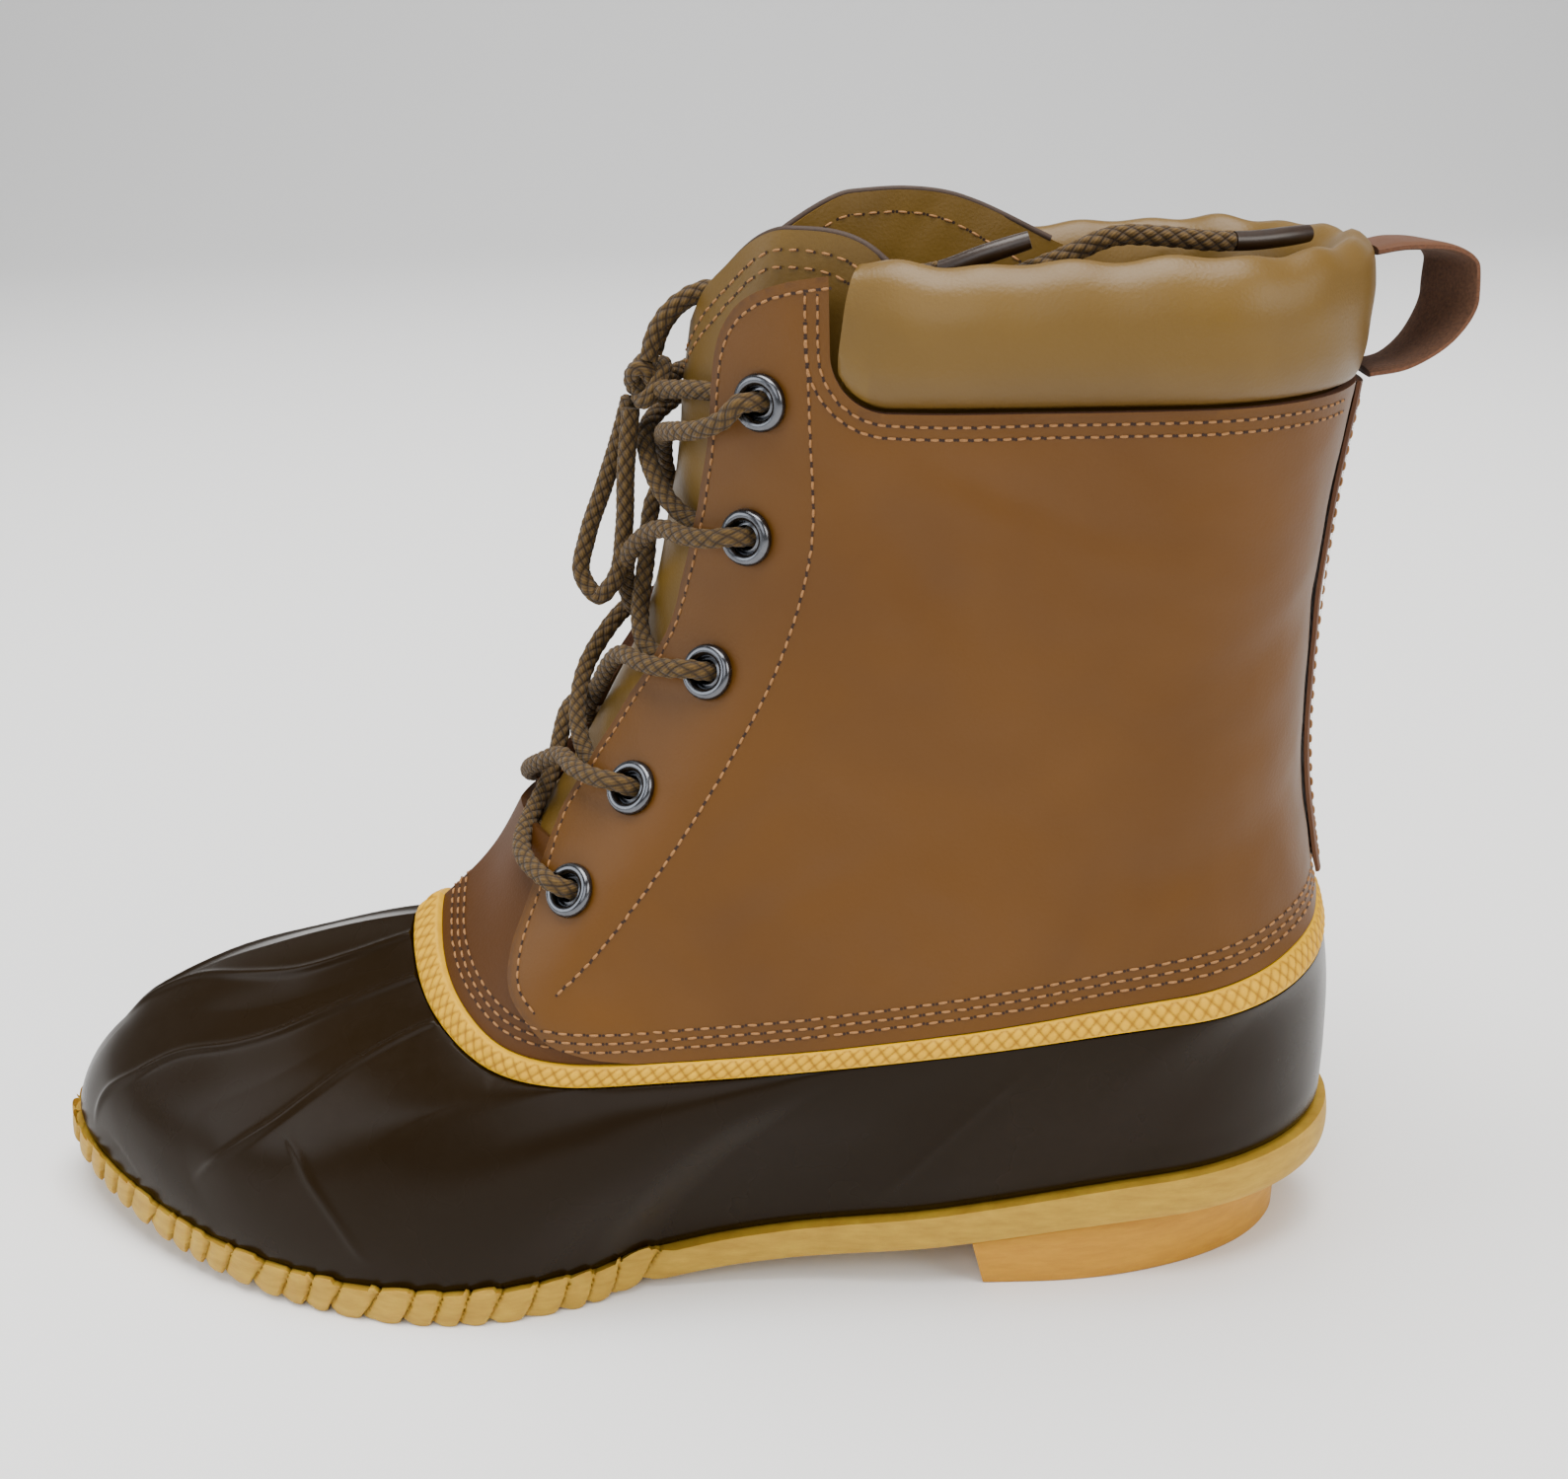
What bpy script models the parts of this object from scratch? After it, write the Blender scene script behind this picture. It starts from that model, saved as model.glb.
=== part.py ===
"""Duck boot for the left foot, standing empty on its sole.

The boot is built as it is made: crepe outsole and heel, a thin rubber lower with a flange
inside the leather, a band over the joint, leather vamp and quarters, padded collar, tongue,
back strap with its loop, eyelets and laces.  Metres, +X to the toe, +Y to the outer side,
+Z up.  The origin is the middle of the heel's ground face.
"""
import math

import bmesh
import bpy
import numpy as np

# Driving sizes of the last and the sole
SOLE_LENGTH = 0.300
BALL_WIDTH = 0.104
BACK_X = -0.045            # back of the outsole, from the origin
HEEL_HEIGHT = 0.0200       # underside of the outsole at its back
TOE_SPRING = 0.0105        # underside of the outsole at the toe tip
SOLE_EDGE = 0.0066         # outsole edge at the ball
SOLE_EDGE_HEEL = 0.0090    # outsole edge at the back
HEEL_ROUND = 0.044         # length of the round back of the sole
TOE_ROUND = 0.095          # length of the round toe of the sole
TOE_SWING = 0.024          # how far the toe tip swings to the inner side
RIM_BACK_HEIGHT = 0.0735   # top line of the rubber lower at the back
SHAFT_HEIGHT = 0.222       # top of the leather shaft
RIM_FRONT_X = 0.1635       # front of the rubber lower's top line
ANKLE_WIDTH = 0.083
RIM_BACK_INSET = 0.0045    # the lower's top line at the back, in from the outsole's back
RIM_SWING = -0.006         # the top line's front, to the inner side
RIM_OUTER = 0.455          # half widths of the top line as shares of the ball width
RIM_INNER = 0.445
RIM_BACK_ROUND = 0.037
RIM_FRONT_ROUND = 0.042
SIDE_SWELL = 0.0030        # the lower bulges out this far between sole and top line
BACK_SWELL = 0.0012
TOE_DIP = 0.090            # how much lower the toe's crest is than a round arch, as a share of its height
SIDE_ARCH = 0.30           # how much the side arches over (1 over the toe)

# Walls and clearances
GAP = 0.0003
LEATHER_WALL = 0.0020
RUBBER_WALL = 0.0026
FLANGE_WALL = 0.0015
FLANGE_CLEAR = 0.0007      # between the flange and the leather in front of it
VAMP_STEP = 0.0009         # the quarters lie this much above the vamp
WELT_MARGIN = 0.0026       # the outsole stands out from the rubber lower
BAND_PROUD = 0.0011
FLANGE_HEIGHT = 0.018      # the rubber lower's flange behind the leather

# Sole edge and heel
SCALLOP_PITCH = 0.0072
SCALLOP_DEPTH = 0.0013
EDGE_FOOT_INSET = 0.0014   # the edge draws in at its foot and a little at its top
EDGE_TOP_INSET = 0.0008
SCALLOP_START = 0.50       # share of the sole's length where the scallops begin
PLAIN_STATIONS = 19        # places along the plain edge behind them
HEEL_BREAST_X = 0.0395
HEEL_BREAST_SLOPE = 0.0025
HEEL_BACK_INSET = 0.0105
HEEL_BACK_ROUND = 0.060
HEEL_SIDE_INSET = 0.0014
HEEL_RAKE = 0.0009         # the heel is smaller by this much at the ground

# Throat, collar and fastening
CUT_REACH = 0.09           # how far the cutters reach past the shaft
CUT_TOP = SHAFT_HEIGHT * 1.2
THROAT_CUT_BACK = 0.045    # the throat's cutter starts here, behind the eyestays' top
COLLAR_HEIGHT = 0.029      # the collar window's lower edge lies this far below the shaft's top
WINDOW_HEIGHT = SHAFT_HEIGHT - COLLAR_HEIGHT
WINDOW_FRONT_X = 0.067     # rear edge of the eyestay tab
WINDOW_CORNER = 0.011
COLLAR_PUFF = 0.0032       # the collar roll stands out from the leather
COLLAR_DEPTH = 0.0095      # how far the collar reaches inward from the leather's face
COLLAR_BACK_PUFF = 0.25    # share of the puff at the back
COLLAR_FADE = 0.020        # length over which the puff fades towards the eyestay tab
COLLAR_CROWN_DROP = 0.0012
COLLAR_TUCK = 0.008
COLLAR_CLEAR = 0.0008      # between the leather's inner face and the collar tucked behind it
COLLAR_END_GAP = 0.0012    # between the collar's end and the eyestay tab
THROAT_CENTRE_Y = -0.005
TONGUE_SPACE = 0.0045      # room for a lace between eyestay and tongue
TONGUE_WALL = 0.0042
TONGUE_FOOT_ROWS = 4.0     # the tongue starts this many fine rows below the vamp's top
LACE = 0.0038
CROSSING_SINK = -0.0020    # how deep two laces cross in the throat, from the leather's face
EYELET_OUTER = 0.0058      # radius of the rolled flange
EYELET_BORE = 0.0026
EYELET_WALL = 0.0007       # wall of the barrel that goes through the leather
EYELET_RISE = 0.0011
EYELET_SEAT = 0.0007       # the ring's underside over the leather's curved face
STRAP_WIDTH = 0.017
STRAP_WALL = 0.0018
BACK_STRIP_WIDTH = 0.0145
BACK_STRIP_WALL = 0.0014
BACK_STRIP_FOOT = 0.004    # the strip starts this far above the band
STRAP_LIFT = 0.0006        # between the strip and the leather that it covers
INSOLE_WALL = 0.0035
INSOLE_CLEAR = 0.0022      # all round inside the rubber lower
RIB_HEIGHT = 0.0011

# Sole plan: half widths each side of the swung middle line, as shares of the ball width
SOLE_PLAN = [
    # along, outer, inner
    (0.00, 0.365, 0.350),
    (0.18, 0.380, 0.362),
    (0.30, 0.380, 0.345),
    (0.42, 0.352, 0.300),
    (0.51, 0.360, 0.310),
    (0.57, 0.440, 0.372),
    (0.63, 0.506, 0.428),
    (0.69, 0.525, 0.462),
    (0.77, 0.510, 0.465),
    (0.86, 0.482, 0.440),
    (1.00, 0.390, 0.370),
]

# Underside of the outsole: shares of the heel height and of the toe spring
SOLE_PROFILE = [
    # along, heel, spring, edge (0 at the ball, 1 at the back)
    (0.00, 1.00, 0.00, 1.00),
    (0.13, 0.86, 0.00, 0.90),
    (0.28, 0.56, 0.00, 0.55),
    (0.38, 0.39, 0.00, 0.30),
    (0.46, 0.25, 0.00, 0.10),
    (0.52, 0.09, 0.00, 0.00),
    (0.57, 0.00, 0.00, 0.00),
    (0.73, 0.00, 0.00, 0.00),
    (0.83, 0.00, 0.17, 0.00),
    (0.92, 0.00, 0.52, 0.00),
    (1.00, 0.00, 1.00, 0.00),
]

# Top line of the rubber lower, from the middle of the back to the middle of the front
RIM_LINE = [
    # round, height as a share of the back height
    (0.00, 1.000),
    (0.18, 0.945),
    (0.29, 0.895),
    (0.41, 0.832),
    (0.535, 0.782),
    (0.66, 0.745),
    (0.745, 0.728),
    (0.81, 0.740),
    (0.87, 0.800),
    (0.93, 0.880),
    (0.965, 0.945),
    (1.00, 0.985),
]

# Sections of the leather shaft above the rim: places as shares of the sole length,
# half widths as shares of the ankle width, heights from the rubber lower's back (0) to the shaft's top (1)
SHAFT_SECTIONS = [
    # back, front, front_y, outer, inner, back_round, front_round, z_back, z_side, z_front
    (-0.123, 0.487, -0.020, 0.540, 0.530, 0.130, 0.085, 0.124, -0.009, 0.103),
    (-0.115, 0.452, -0.024, 0.515, 0.505, 0.135, 0.105, 0.253, 0.148, 0.215),
    (-0.114, 0.418, -0.027, 0.495, 0.490, 0.135, 0.150, 0.372, 0.290, 0.327),
    (-0.117, 0.378, -0.027, 0.490, 0.485, 0.135, 0.200, 0.507, 0.462, 0.484),
    (-0.125, 0.356, -0.027, 0.495, 0.490, 0.135, 0.215, 0.664, 0.641, 0.664),
    (-0.137, 0.344, -0.024, 0.505, 0.500, 0.135, 0.215, 0.828, 0.828, 0.836),
    (-0.145, 0.330, -0.020, 0.510, 0.500, 0.135, 0.210, 1.000, 1.000, 1.000),
    (-0.147, 0.320, -0.018, 0.510, 0.500, 0.135, 0.210, 1.090, 1.090, 1.090),]

# Front edge of the quarters: height as a share of the shaft height, and the half gap
# between them as a share of the ankle width
QUARTER_EDGE = [
    # height, half gap
    (0.200, 0.720),
    (0.262, 0.590),
    (0.300, 0.535),
    (0.325, 0.480),
    (0.365, 0.425),
    (0.400, 0.385),
    (0.435, 0.335),
    (0.485, 0.262),
    (0.555, 0.240),
    (0.700, 0.258),
    (0.860, 0.282),
    (0.928, 0.300),
    (0.960, 0.345),
    (0.980, 0.420),
    (0.992, 0.520),
    (1.010, 0.640),
]

# The five eyelets of each side
EYELETS = [
    # height as a share of the shaft height, distance back from the quarter's edge
    (0.423, 0.0108),
    (0.516, 0.0165),
    (0.626, 0.0165),
    (0.752, 0.0145),
    (0.874, 0.0135),
]

# Top line of the tongue, round the front from the outer side to the inner side
TONGUE_TOP = [
    # across (-1 outer edge, 0 front, 1 inner edge), height over the shaft as its share
    (-1.00, 0.970),
    (-0.80, 1.010),
    (-0.55, 1.022),
    (-0.25, 0.975),
    (0.00, 0.930),
    (0.25, 0.975),
    (0.50, 1.035),
    (0.75, 1.025),
    (1.00, 0.975),
]
TONGUE_OUTER_X = 0.052     # the tongue's outer edge at the top
TONGUE_INNER_X = 0.014     # its inner edge at the top
VAMP_TOP = 0.455           # upper end of the vamp, as a share of the shaft height
VAMP_BACK = 0.22           # how far round the boot from the back the vamp begins

# Rubber ribs over the toe: place on the sheet of the lower, from rim to toe
TOE_RIBS = [
    # round at the rim, round at the end, end level, rim level
    (0.500, 0.500, 0.40, 0.97),
    (0.462, 0.478, 0.26, 0.97),
    (0.538, 0.522, 0.26, 0.97),
    (0.425, 0.446, 0.10, 0.97),
    (0.575, 0.554, 0.10, 0.97),
]
RIB_SPAN = 0.020           # half width of a rib, as a share of the way round

COLUMNS = 48               # faces round the lower and the shaft
TOE_CROWDING = 0.055       # how much closer they lie over the toe
FINE_COLUMNS = 240
UPPER_ROWS = [0.0, 0.08, 0.16, 0.24, 0.33, 0.43, 0.54, 0.68, 0.84, 1.0]
EYELET_SIDES = 9
HOLE_SIDES = 12
CORD_SIDES = 6


def smooth_through(x, xs, ys):
    """A smooth curve through the points of a table, with slopes limited so that it never overshoots."""
    xs, ys = np.asarray(xs, float), np.asarray(ys, float)
    rise = np.diff(ys) / np.diff(xs)
    slope = np.zeros(len(xs))
    slope[1:-1] = 0.5 * (rise[:-1] + rise[1:])
    slope[0], slope[-1] = rise[0], rise[-1]
    flat = rise[:-1] * rise[1:] <= 0
    slope[1:-1][flat] = 0
    low = 3 * np.minimum(np.abs(rise[:-1]), np.abs(rise[1:]))
    slope[1:-1] = np.clip(slope[1:-1], -low, low)
    x = np.clip(x, xs[0], xs[-1])
    k = np.clip(np.searchsorted(xs, x, side="right") - 1, 0, len(xs) - 2)
    h = xs[k + 1] - xs[k]
    t = (x - xs[k]) / h
    return ((2 * t**3 - 3 * t**2 + 1) * ys[k] + (t**3 - 2 * t**2 + t) * h * slope[k]
            + (3 * t**2 - 2 * t**3) * ys[k + 1] + (t**3 - t**2) * h * slope[k + 1])


def column(table, name_index):
    return [row[name_index] for row in table]


def ease(x, low, high):
    t = np.clip((x - low) / (high - low), 0, 1)
    return t * t * (3 - 2 * t)


def quarter_round(distance, reach):
    """0 at an end and 1 from reach on, as a quarter of an ellipse."""
    t = 1 - np.clip(distance / reach, 0, 1)
    return np.sqrt(np.maximum(0, 1 - t * t))


def along_sole(x):
    return (x - BACK_X) / SOLE_LENGTH


def swing(s):
    return -TOE_SWING * np.clip((s - 0.5) / 0.5, 0, 1) ** 1.6


def sole_edge_y(x, side, inset=0.0):
    """y of the sole's edge at x; side is 1 on the outer side and -1 on the inner side."""
    s = along_sole(x)
    half = BALL_WIDTH * smooth_through(s, column(SOLE_PLAN, 0), column(SOLE_PLAN, 1 if side > 0 else 2))
    half = half - inset
    back = quarter_round(x - BACK_X - inset, HEEL_ROUND - inset)
    front = quarter_round(BACK_X + SOLE_LENGTH - inset - x, TOE_ROUND - inset)
    return swing(s) + side * half * back * front


def sole_low(x):
    """Height of the outsole's underside."""
    s = along_sole(x)
    heel = smooth_through(s, column(SOLE_PROFILE, 0), column(SOLE_PROFILE, 1))
    spring = smooth_through(s, column(SOLE_PROFILE, 0), column(SOLE_PROFILE, 2))
    return HEEL_HEIGHT * heel + TOE_SPRING * spring


def sole_top(x):
    s = along_sole(x)
    edge = smooth_through(s, column(SOLE_PROFILE, 0), column(SOLE_PROFILE, 3))
    return sole_low(x) + SOLE_EDGE + (SOLE_EDGE_HEEL - SOLE_EDGE) * edge


def evenly(points, shares):
    """Points at the given shares of a line's length, measured in plan."""
    steps = np.linalg.norm(np.diff(points[:, :2], axis=0), axis=1)
    run = np.concatenate([[0], np.cumsum(steps)])
    run /= run[-1]
    return np.stack([np.interp(shares, run, points[:, k]) for k in range(points.shape[1])], 1)


def whole_loop(outer, inner, shares):
    """A closed loop of FINE_COLUMNS + 1 points: back, outer side, front, inner side, back."""
    a, b = evenly(outer, shares), evenly(inner, shares)
    return np.concatenate([a, b[::-1][1:]])


def ends_crowded(count):
    return (1 - np.cos(np.linspace(0, math.pi, count))) / 2


def feather_loop(shares):
    """Foot of the rubber lower, on the outsole's top."""
    x = BACK_X + WELT_MARGIN + (SOLE_LENGTH - 2 * WELT_MARGIN) * ends_crowded(200)
    z = sole_top(x) + GAP
    outer = np.stack([x, sole_edge_y(x, 1, WELT_MARGIN), z], 1)
    inner = np.stack([x, sole_edge_y(x, -1, WELT_MARGIN), z], 1)
    return whole_loop(outer, inner, shares)


def oval_loop(shares, back, front, front_y, outer, inner, back_round, front_round, height):
    """A section of the upper; height is a function of the share of the way from back to front."""
    s = ends_crowded(200)
    x = back + (front - back) * s
    closing = quarter_round(x - back, back_round) * quarter_round(front - x, front_round)
    middle = front_y * s**2
    halves = []
    for side, half in ((1, outer), (-1, inner)):
        line = np.stack([x, middle + side * half * closing, x * 0], 1)
        line = evenly(line, shares)
        line[:, 2] = height(shares)
        halves.append(line)
    return np.concatenate([halves[0], halves[1][::-1][1:]])


def rim_loop(shares):
    height = lambda g: RIM_BACK_HEIGHT * smooth_through(g, column(RIM_LINE, 0), column(RIM_LINE, 1))
    return oval_loop(shares, BACK_X + RIM_BACK_INSET, RIM_FRONT_X, RIM_SWING, RIM_OUTER * BALL_WIDTH,
                     RIM_INNER * BALL_WIDTH, RIM_BACK_ROUND, RIM_FRONT_ROUND, height)


def shaft_loop(shares, row):
    back, front, front_y, outer, inner, back_round, front_round, z_back, z_side, z_front = row

    def height(g):
        bow = z_side - 0.5 * (z_back + z_front)
        share = z_back + (z_front - z_back) * g + bow * 4 * g * (1 - g)
        return RIM_BACK_HEIGHT + (SHAFT_HEIGHT - RIM_BACK_HEIGHT) * share

    return oval_loop(shares, back * SOLE_LENGTH, front * SOLE_LENGTH, front_y * SOLE_LENGTH,
                     outer * ANKLE_WIDTH, inner * ANKLE_WIDTH, back_round * SOLE_LENGTH,
                     front_round * SOLE_LENGTH, height)


def across_rows(loops, count):
    """Smooth rows between the loops, count steps from each loop to the next."""
    p = np.array(loops)
    slope = np.zeros_like(p)
    slope[1:-1] = 0.5 * (p[2:] - p[:-2])
    slope[0], slope[-1] = p[1] - p[0], p[-1] - p[-2]
    rows = []
    for k in range(len(p) - 1):
        for t in np.arange(count) / count:
            rows.append((2 * t**3 - 3 * t**2 + 1) * p[k] + (t**3 - 2 * t**2 + t) * slope[k]
                        + (3 * t**2 - 2 * t**3) * p[k + 1] + (t**3 - t**2) * slope[k + 1])
    rows.append(p[-1])
    return np.array(rows)


LOWER_STEPS = 40           # fine rows of the form from the sole to the rim
SHAFT_STEPS = 12           # fine rows from each section of the shaft to the next


def build_form():
    """The boot's outer form as a fine net: rows up from the sole, columns round from the back."""
    shares = np.linspace(0, 1, FINE_COLUMNS // 2 + 1)
    feather, rim = feather_loop(shares), rim_loop(shares)
    g = np.concatenate([shares, shares[::-1][1:]])
    arch = SIDE_ARCH + (1 - SIDE_ARCH) * ease(g, 0.55, 0.93)
    rows = []
    outward = np.stack([np.gradient(feather[:, 1]), -np.gradient(feather[:, 0])], 1)
    outward /= np.maximum(np.linalg.norm(outward, axis=1), 1e-9)[:, None]
    outward *= -1
    behind = 1 - ease(g, 0.0, 0.15)
    swell = SIDE_SWELL * (1 - ease(g, 0.75, 0.95)) * (1 - behind) + BACK_SWELL * behind
    for v in np.linspace(0, 1, LOWER_STEPS + 1):
        turn = v * math.pi / 2
        level = (1 - arch) * v**1.3 + arch * (1 - math.cos(turn))
        lift = (1 - arch) * v + arch * math.sin(turn) ** (1 + 0.14 * arch)
        lift = lift - TOE_DIP * ease(g, 0.70, 0.95) * math.sin(math.pi * v**1.5)
        row = np.empty_like(rim)
        row[:, :2] = feather[:, :2] + (rim - feather)[:, :2] * level[:, None]
        row[:, 2] = feather[:, 2] + (rim - feather)[:, 2] * lift
        row[:, :2] += outward * (swell * math.sin(math.pi * v) ** 0.8)[:, None]
        rows.append(row)
    shaft = across_rows([rim] + [shaft_loop(shares, row) for row in SHAFT_SECTIONS], SHAFT_STEPS)
    form = np.concatenate([np.array(rows), shaft[1:]])
    up = np.gradient(form, axis=0)
    wrapped = np.concatenate([form[:, -2:-1], form, form[:, 1:2]], 1)
    round_it = 0.5 * (wrapped[:, 2:] - wrapped[:, :-2])
    normal = np.cross(up, round_it)
    normal /= np.maximum(np.linalg.norm(normal, axis=2), 1e-12)[..., None]
    middle = form[:, :, :2].mean(1)[:, None]
    away = ((form[:, :, :2] - middle) * normal[:, :, :2]).sum()
    if away < 0:
        normal = -normal
    return form, normal


FORM, NORMAL = build_form()
RIM = LOWER_STEPS
CLIMB = np.concatenate([np.zeros((1, FINE_COLUMNS + 1)),
                        np.cumsum(np.linalg.norm(np.diff(FORM, axis=0), axis=2), 0)])
CLIMB = CLIMB - CLIMB[RIM]


def net_at(net, u, row):
    """The net read between its rows and columns; u runs from 0 to 1 round the boot."""
    u, row = np.broadcast_arrays(np.asarray(u, float), np.asarray(row, float))
    c = np.clip(u, 0, 1) * FINE_COLUMNS
    r = np.clip(row, 0, len(net) - 1)
    ci, ri = np.minimum(c.astype(int), FINE_COLUMNS - 1), np.minimum(r.astype(int), len(net) - 2)
    a, b = c - ci, r - ri
    if net.ndim == 3:
        a, b = a[..., None], b[..., None]
    return ((1 - a) * (1 - b) * net[ri, ci] + a * (1 - b) * net[ri, ci + 1]
            + (1 - a) * b * net[ri + 1, ci] + a * b * net[ri + 1, ci + 1])


def surface(u, row, offset=0.0):
    """A point of the form, moved out by offset (in when negative)."""
    normal = net_at(NORMAL, u, row)
    normal = normal / np.linalg.norm(normal, axis=-1, keepdims=True)
    return net_at(FORM, u, row) + normal * np.asarray(offset, float)[..., None]


def row_above_rim(u, climb):
    """The row at a distance above the rim, measured up the form."""
    u = np.atleast_1d(np.asarray(u, float))
    climb = np.broadcast_to(climb, u.shape)
    every = np.arange(len(FORM))
    return np.array([np.interp(c, net_at(CLIMB, x, every), every) for x, c in zip(u, climb)])


def row_at_height(u, z):
    """The row above the rim where the form reaches height z."""
    u = np.atleast_1d(np.asarray(u, float))
    z = np.broadcast_to(z, u.shape)
    every = np.arange(RIM, len(FORM))
    return np.array([np.interp(h, net_at(FORM, x, every)[:, 2], every) for x, h in zip(u, z)])


def remove_everything():
    for ob in list(bpy.data.objects):
        bpy.data.objects.remove(ob, do_unlink=True)


def material(name, colour, roughness, metallic=0.0):
    m = bpy.data.materials.new(name)
    m.use_nodes = True
    shader = m.node_tree.nodes["Principled BSDF"]
    shader.inputs["Base Color"].default_value = (*colour, 1.0)
    shader.inputs["Roughness"].default_value = roughness
    shader.inputs["Metallic"].default_value = metallic
    m.diffuse_color = (*colour, 1.0)
    return m


def add_mesh(name, verts, faces, finish, sharp=40.0):
    mesh = bpy.data.meshes.new(name)
    mesh.from_pydata([tuple(map(float, v)) for v in verts], [], [tuple(f) for f in faces])
    bm = bmesh.new()
    bm.from_mesh(mesh)
    bmesh.ops.remove_doubles(bm, verts=bm.verts, dist=1e-6)
    bmesh.ops.dissolve_degenerate(bm, dist=1e-7, edges=bm.edges)
    bmesh.ops.recalc_face_normals(bm, faces=bm.faces)
    bm.to_mesh(mesh)
    bm.free()
    mesh.validate()
    mesh.shade_smooth()
    mesh.set_sharp_from_angle(angle=math.radians(sharp))
    ob = bpy.data.objects.new(name, mesh)
    bpy.context.scene.collection.objects.link(ob)
    if finish:
        mesh.materials.append(finish)
    return ob


def skin(name, rows, finish, closed_section=True, closed_round=True, sharp=40.0):
    """A solid from a net of rows; each row is a line round the boot, and the rows go round the section."""
    net = np.array(rows)
    m, n = net.shape[:2]
    faces = []
    for i in range(m if closed_section else m - 1):
        for j in range(n if closed_round else n - 1):
            a, b = (i + 1) % m, (j + 1) % n
            faces.append((i * n + j, i * n + b, a * n + b, a * n + j))
    if not closed_round:
        faces.append([i * n for i in range(m)][::-1])
        faces.append([i * n + n - 1 for i in range(m)])
    return add_mesh(name, net.reshape(-1, 3), faces, finish, sharp)


def cutter(name, verts, faces):
    ob = add_mesh(name, verts, faces, None)
    ob.hide_render = True
    ob.display_type = "WIRE"
    return ob


def prism(name, outline, axis, low, high):
    """A cutter with the given outline, extruded along axis 0 (X) or 1 (Y)."""
    verts = []
    for end in (low, high):
        for a, b in outline:
            verts.append((end, a, b) if axis == 0 else (a, end, b))
    n = len(outline)
    faces = [list(range(n))[::-1], list(range(n, 2 * n))]
    faces += [(i, (i + 1) % n, n + (i + 1) % n, n + i) for i in range(n)]
    return cutter(name, verts, faces)


def boolean(ob, tool, kind):
    mod = ob.modifiers.new(tool.name, "BOOLEAN")
    mod.operation = kind
    mod.object = tool
    mod.solver = "EXACT"
    return mod


def round_u():
    """Columns round the boot, closer together over the toe. Every piece uses them, so walls lie parallel."""
    spread = np.linspace(0, 1, COLUMNS + 1)[:-1]
    return spread + TOE_CROWDING * np.sin(2 * math.pi * spread)


def sole_stations():
    """Places along the sole from back to toe, three to a scallop in front, and which are notches."""
    x = BACK_X + SOLE_LENGTH * ends_crowded(600)[::-1]
    run = np.concatenate([[0], np.cumsum(np.hypot(np.diff(x), np.diff(sole_edge_y(x, 1))))])
    front = float(np.interp(-(BACK_X + SCALLOP_START * SOLE_LENGTH), -x, run))
    scallops = int(front / SCALLOP_PITCH)
    ahead = np.arange(3 * scallops + 1) * SCALLOP_PITCH / 3
    behind = np.linspace(ahead[-1], run[-1], PLAIN_STATIONS + 1)[1:]
    notch = np.zeros(len(ahead) + len(behind))
    notch[1:len(ahead):3] = 1.0
    places = np.interp(np.concatenate([ahead, behind]), run, x)
    places[0], places[-1] = x[0], x[-1]
    return places[::-1], notch[::-1]


def make_outsole(finish):
    x, notch = sole_stations()
    count = len(x)
    rings = {}
    for side in (1, -1):
        for key, inset, lift in (("foot", EDGE_FOOT_INSET, 0.0), ("bulge", 0.0, 0.45), ("top", EDGE_TOP_INSET, 1.0)):
            depth = inset + SCALLOP_DEPTH * notch * (1.0 if key != "top" else 0.3)
            low = sole_low(x) + SCALLOP_DEPTH * notch * (1 - lift)
            z = low + (sole_top(x) - low) * lift
            xx = np.clip(x, BACK_X + depth, BACK_X + SOLE_LENGTH - depth)
            middle = swing(along_sole(xx))
            yy = sole_edge_y(xx, side) - side * depth
            yy = np.where(side * (yy - middle) < 0, middle, yy)
            yy[0], yy[-1] = middle[0], middle[-1]
            rings[key, side] = np.stack([xx, yy, z], 1)
    verts, faces, index = [], [], {}
    for key in ("foot", "bulge", "top"):
        loop = np.concatenate([rings[key, 1], rings[key, -1][::-1][1:-1]])
        index[key] = len(verts)
        verts += list(loop)
    n = 2 * count - 2
    for a, b in (("foot", "bulge"), ("bulge", "top")):
        for j in range(n):
            k = (j + 1) % n
            faces.append((index[a] + j, index[a] + k, index[b] + k, index[b] + j))
    for key in ("foot", "top"):
        for j in range(count - 1):
            a, b = index[key] + j, index[key] + j + 1
            c, d = index[key] + (n - j - 1) % n, index[key] + (n - j) % n
            quad = [a, b, c, d] if j else [a, b, c]
            if j == count - 2:
                quad = [a, b, d]
            faces.append(quad)
    return add_mesh("outsole", verts, faces, finish, sharp=50.0)


def station_solid(name, x_low, x_high, half_low, half_high, z_low, z_high, finish):
    """A plate between two closed outlines with the same stations from back to front."""
    n = len(x_low)
    verts, faces = [], []
    for x, half, z in ((x_low, half_low, z_low), (x_high, half_high, z_high)):
        for side in (1, -1):
            verts += list(np.stack([x, half[side], z], 1))
    lo, li, ho, hi = 0, n, 2 * n, 3 * n
    for j in range(n - 1):
        faces.append((lo + j, lo + j + 1, li + j + 1, li + j))
        faces.append((ho + j, ho + j + 1, hi + j + 1, hi + j))
        faces.append((lo + j, lo + j + 1, ho + j + 1, ho + j))
        faces.append((li + j, li + j + 1, hi + j + 1, hi + j))
    for j in (0, n - 1):
        faces.append((lo + j, li + j, hi + j, ho + j))
    return add_mesh(name, verts, faces, finish, sharp=35.0)


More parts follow.
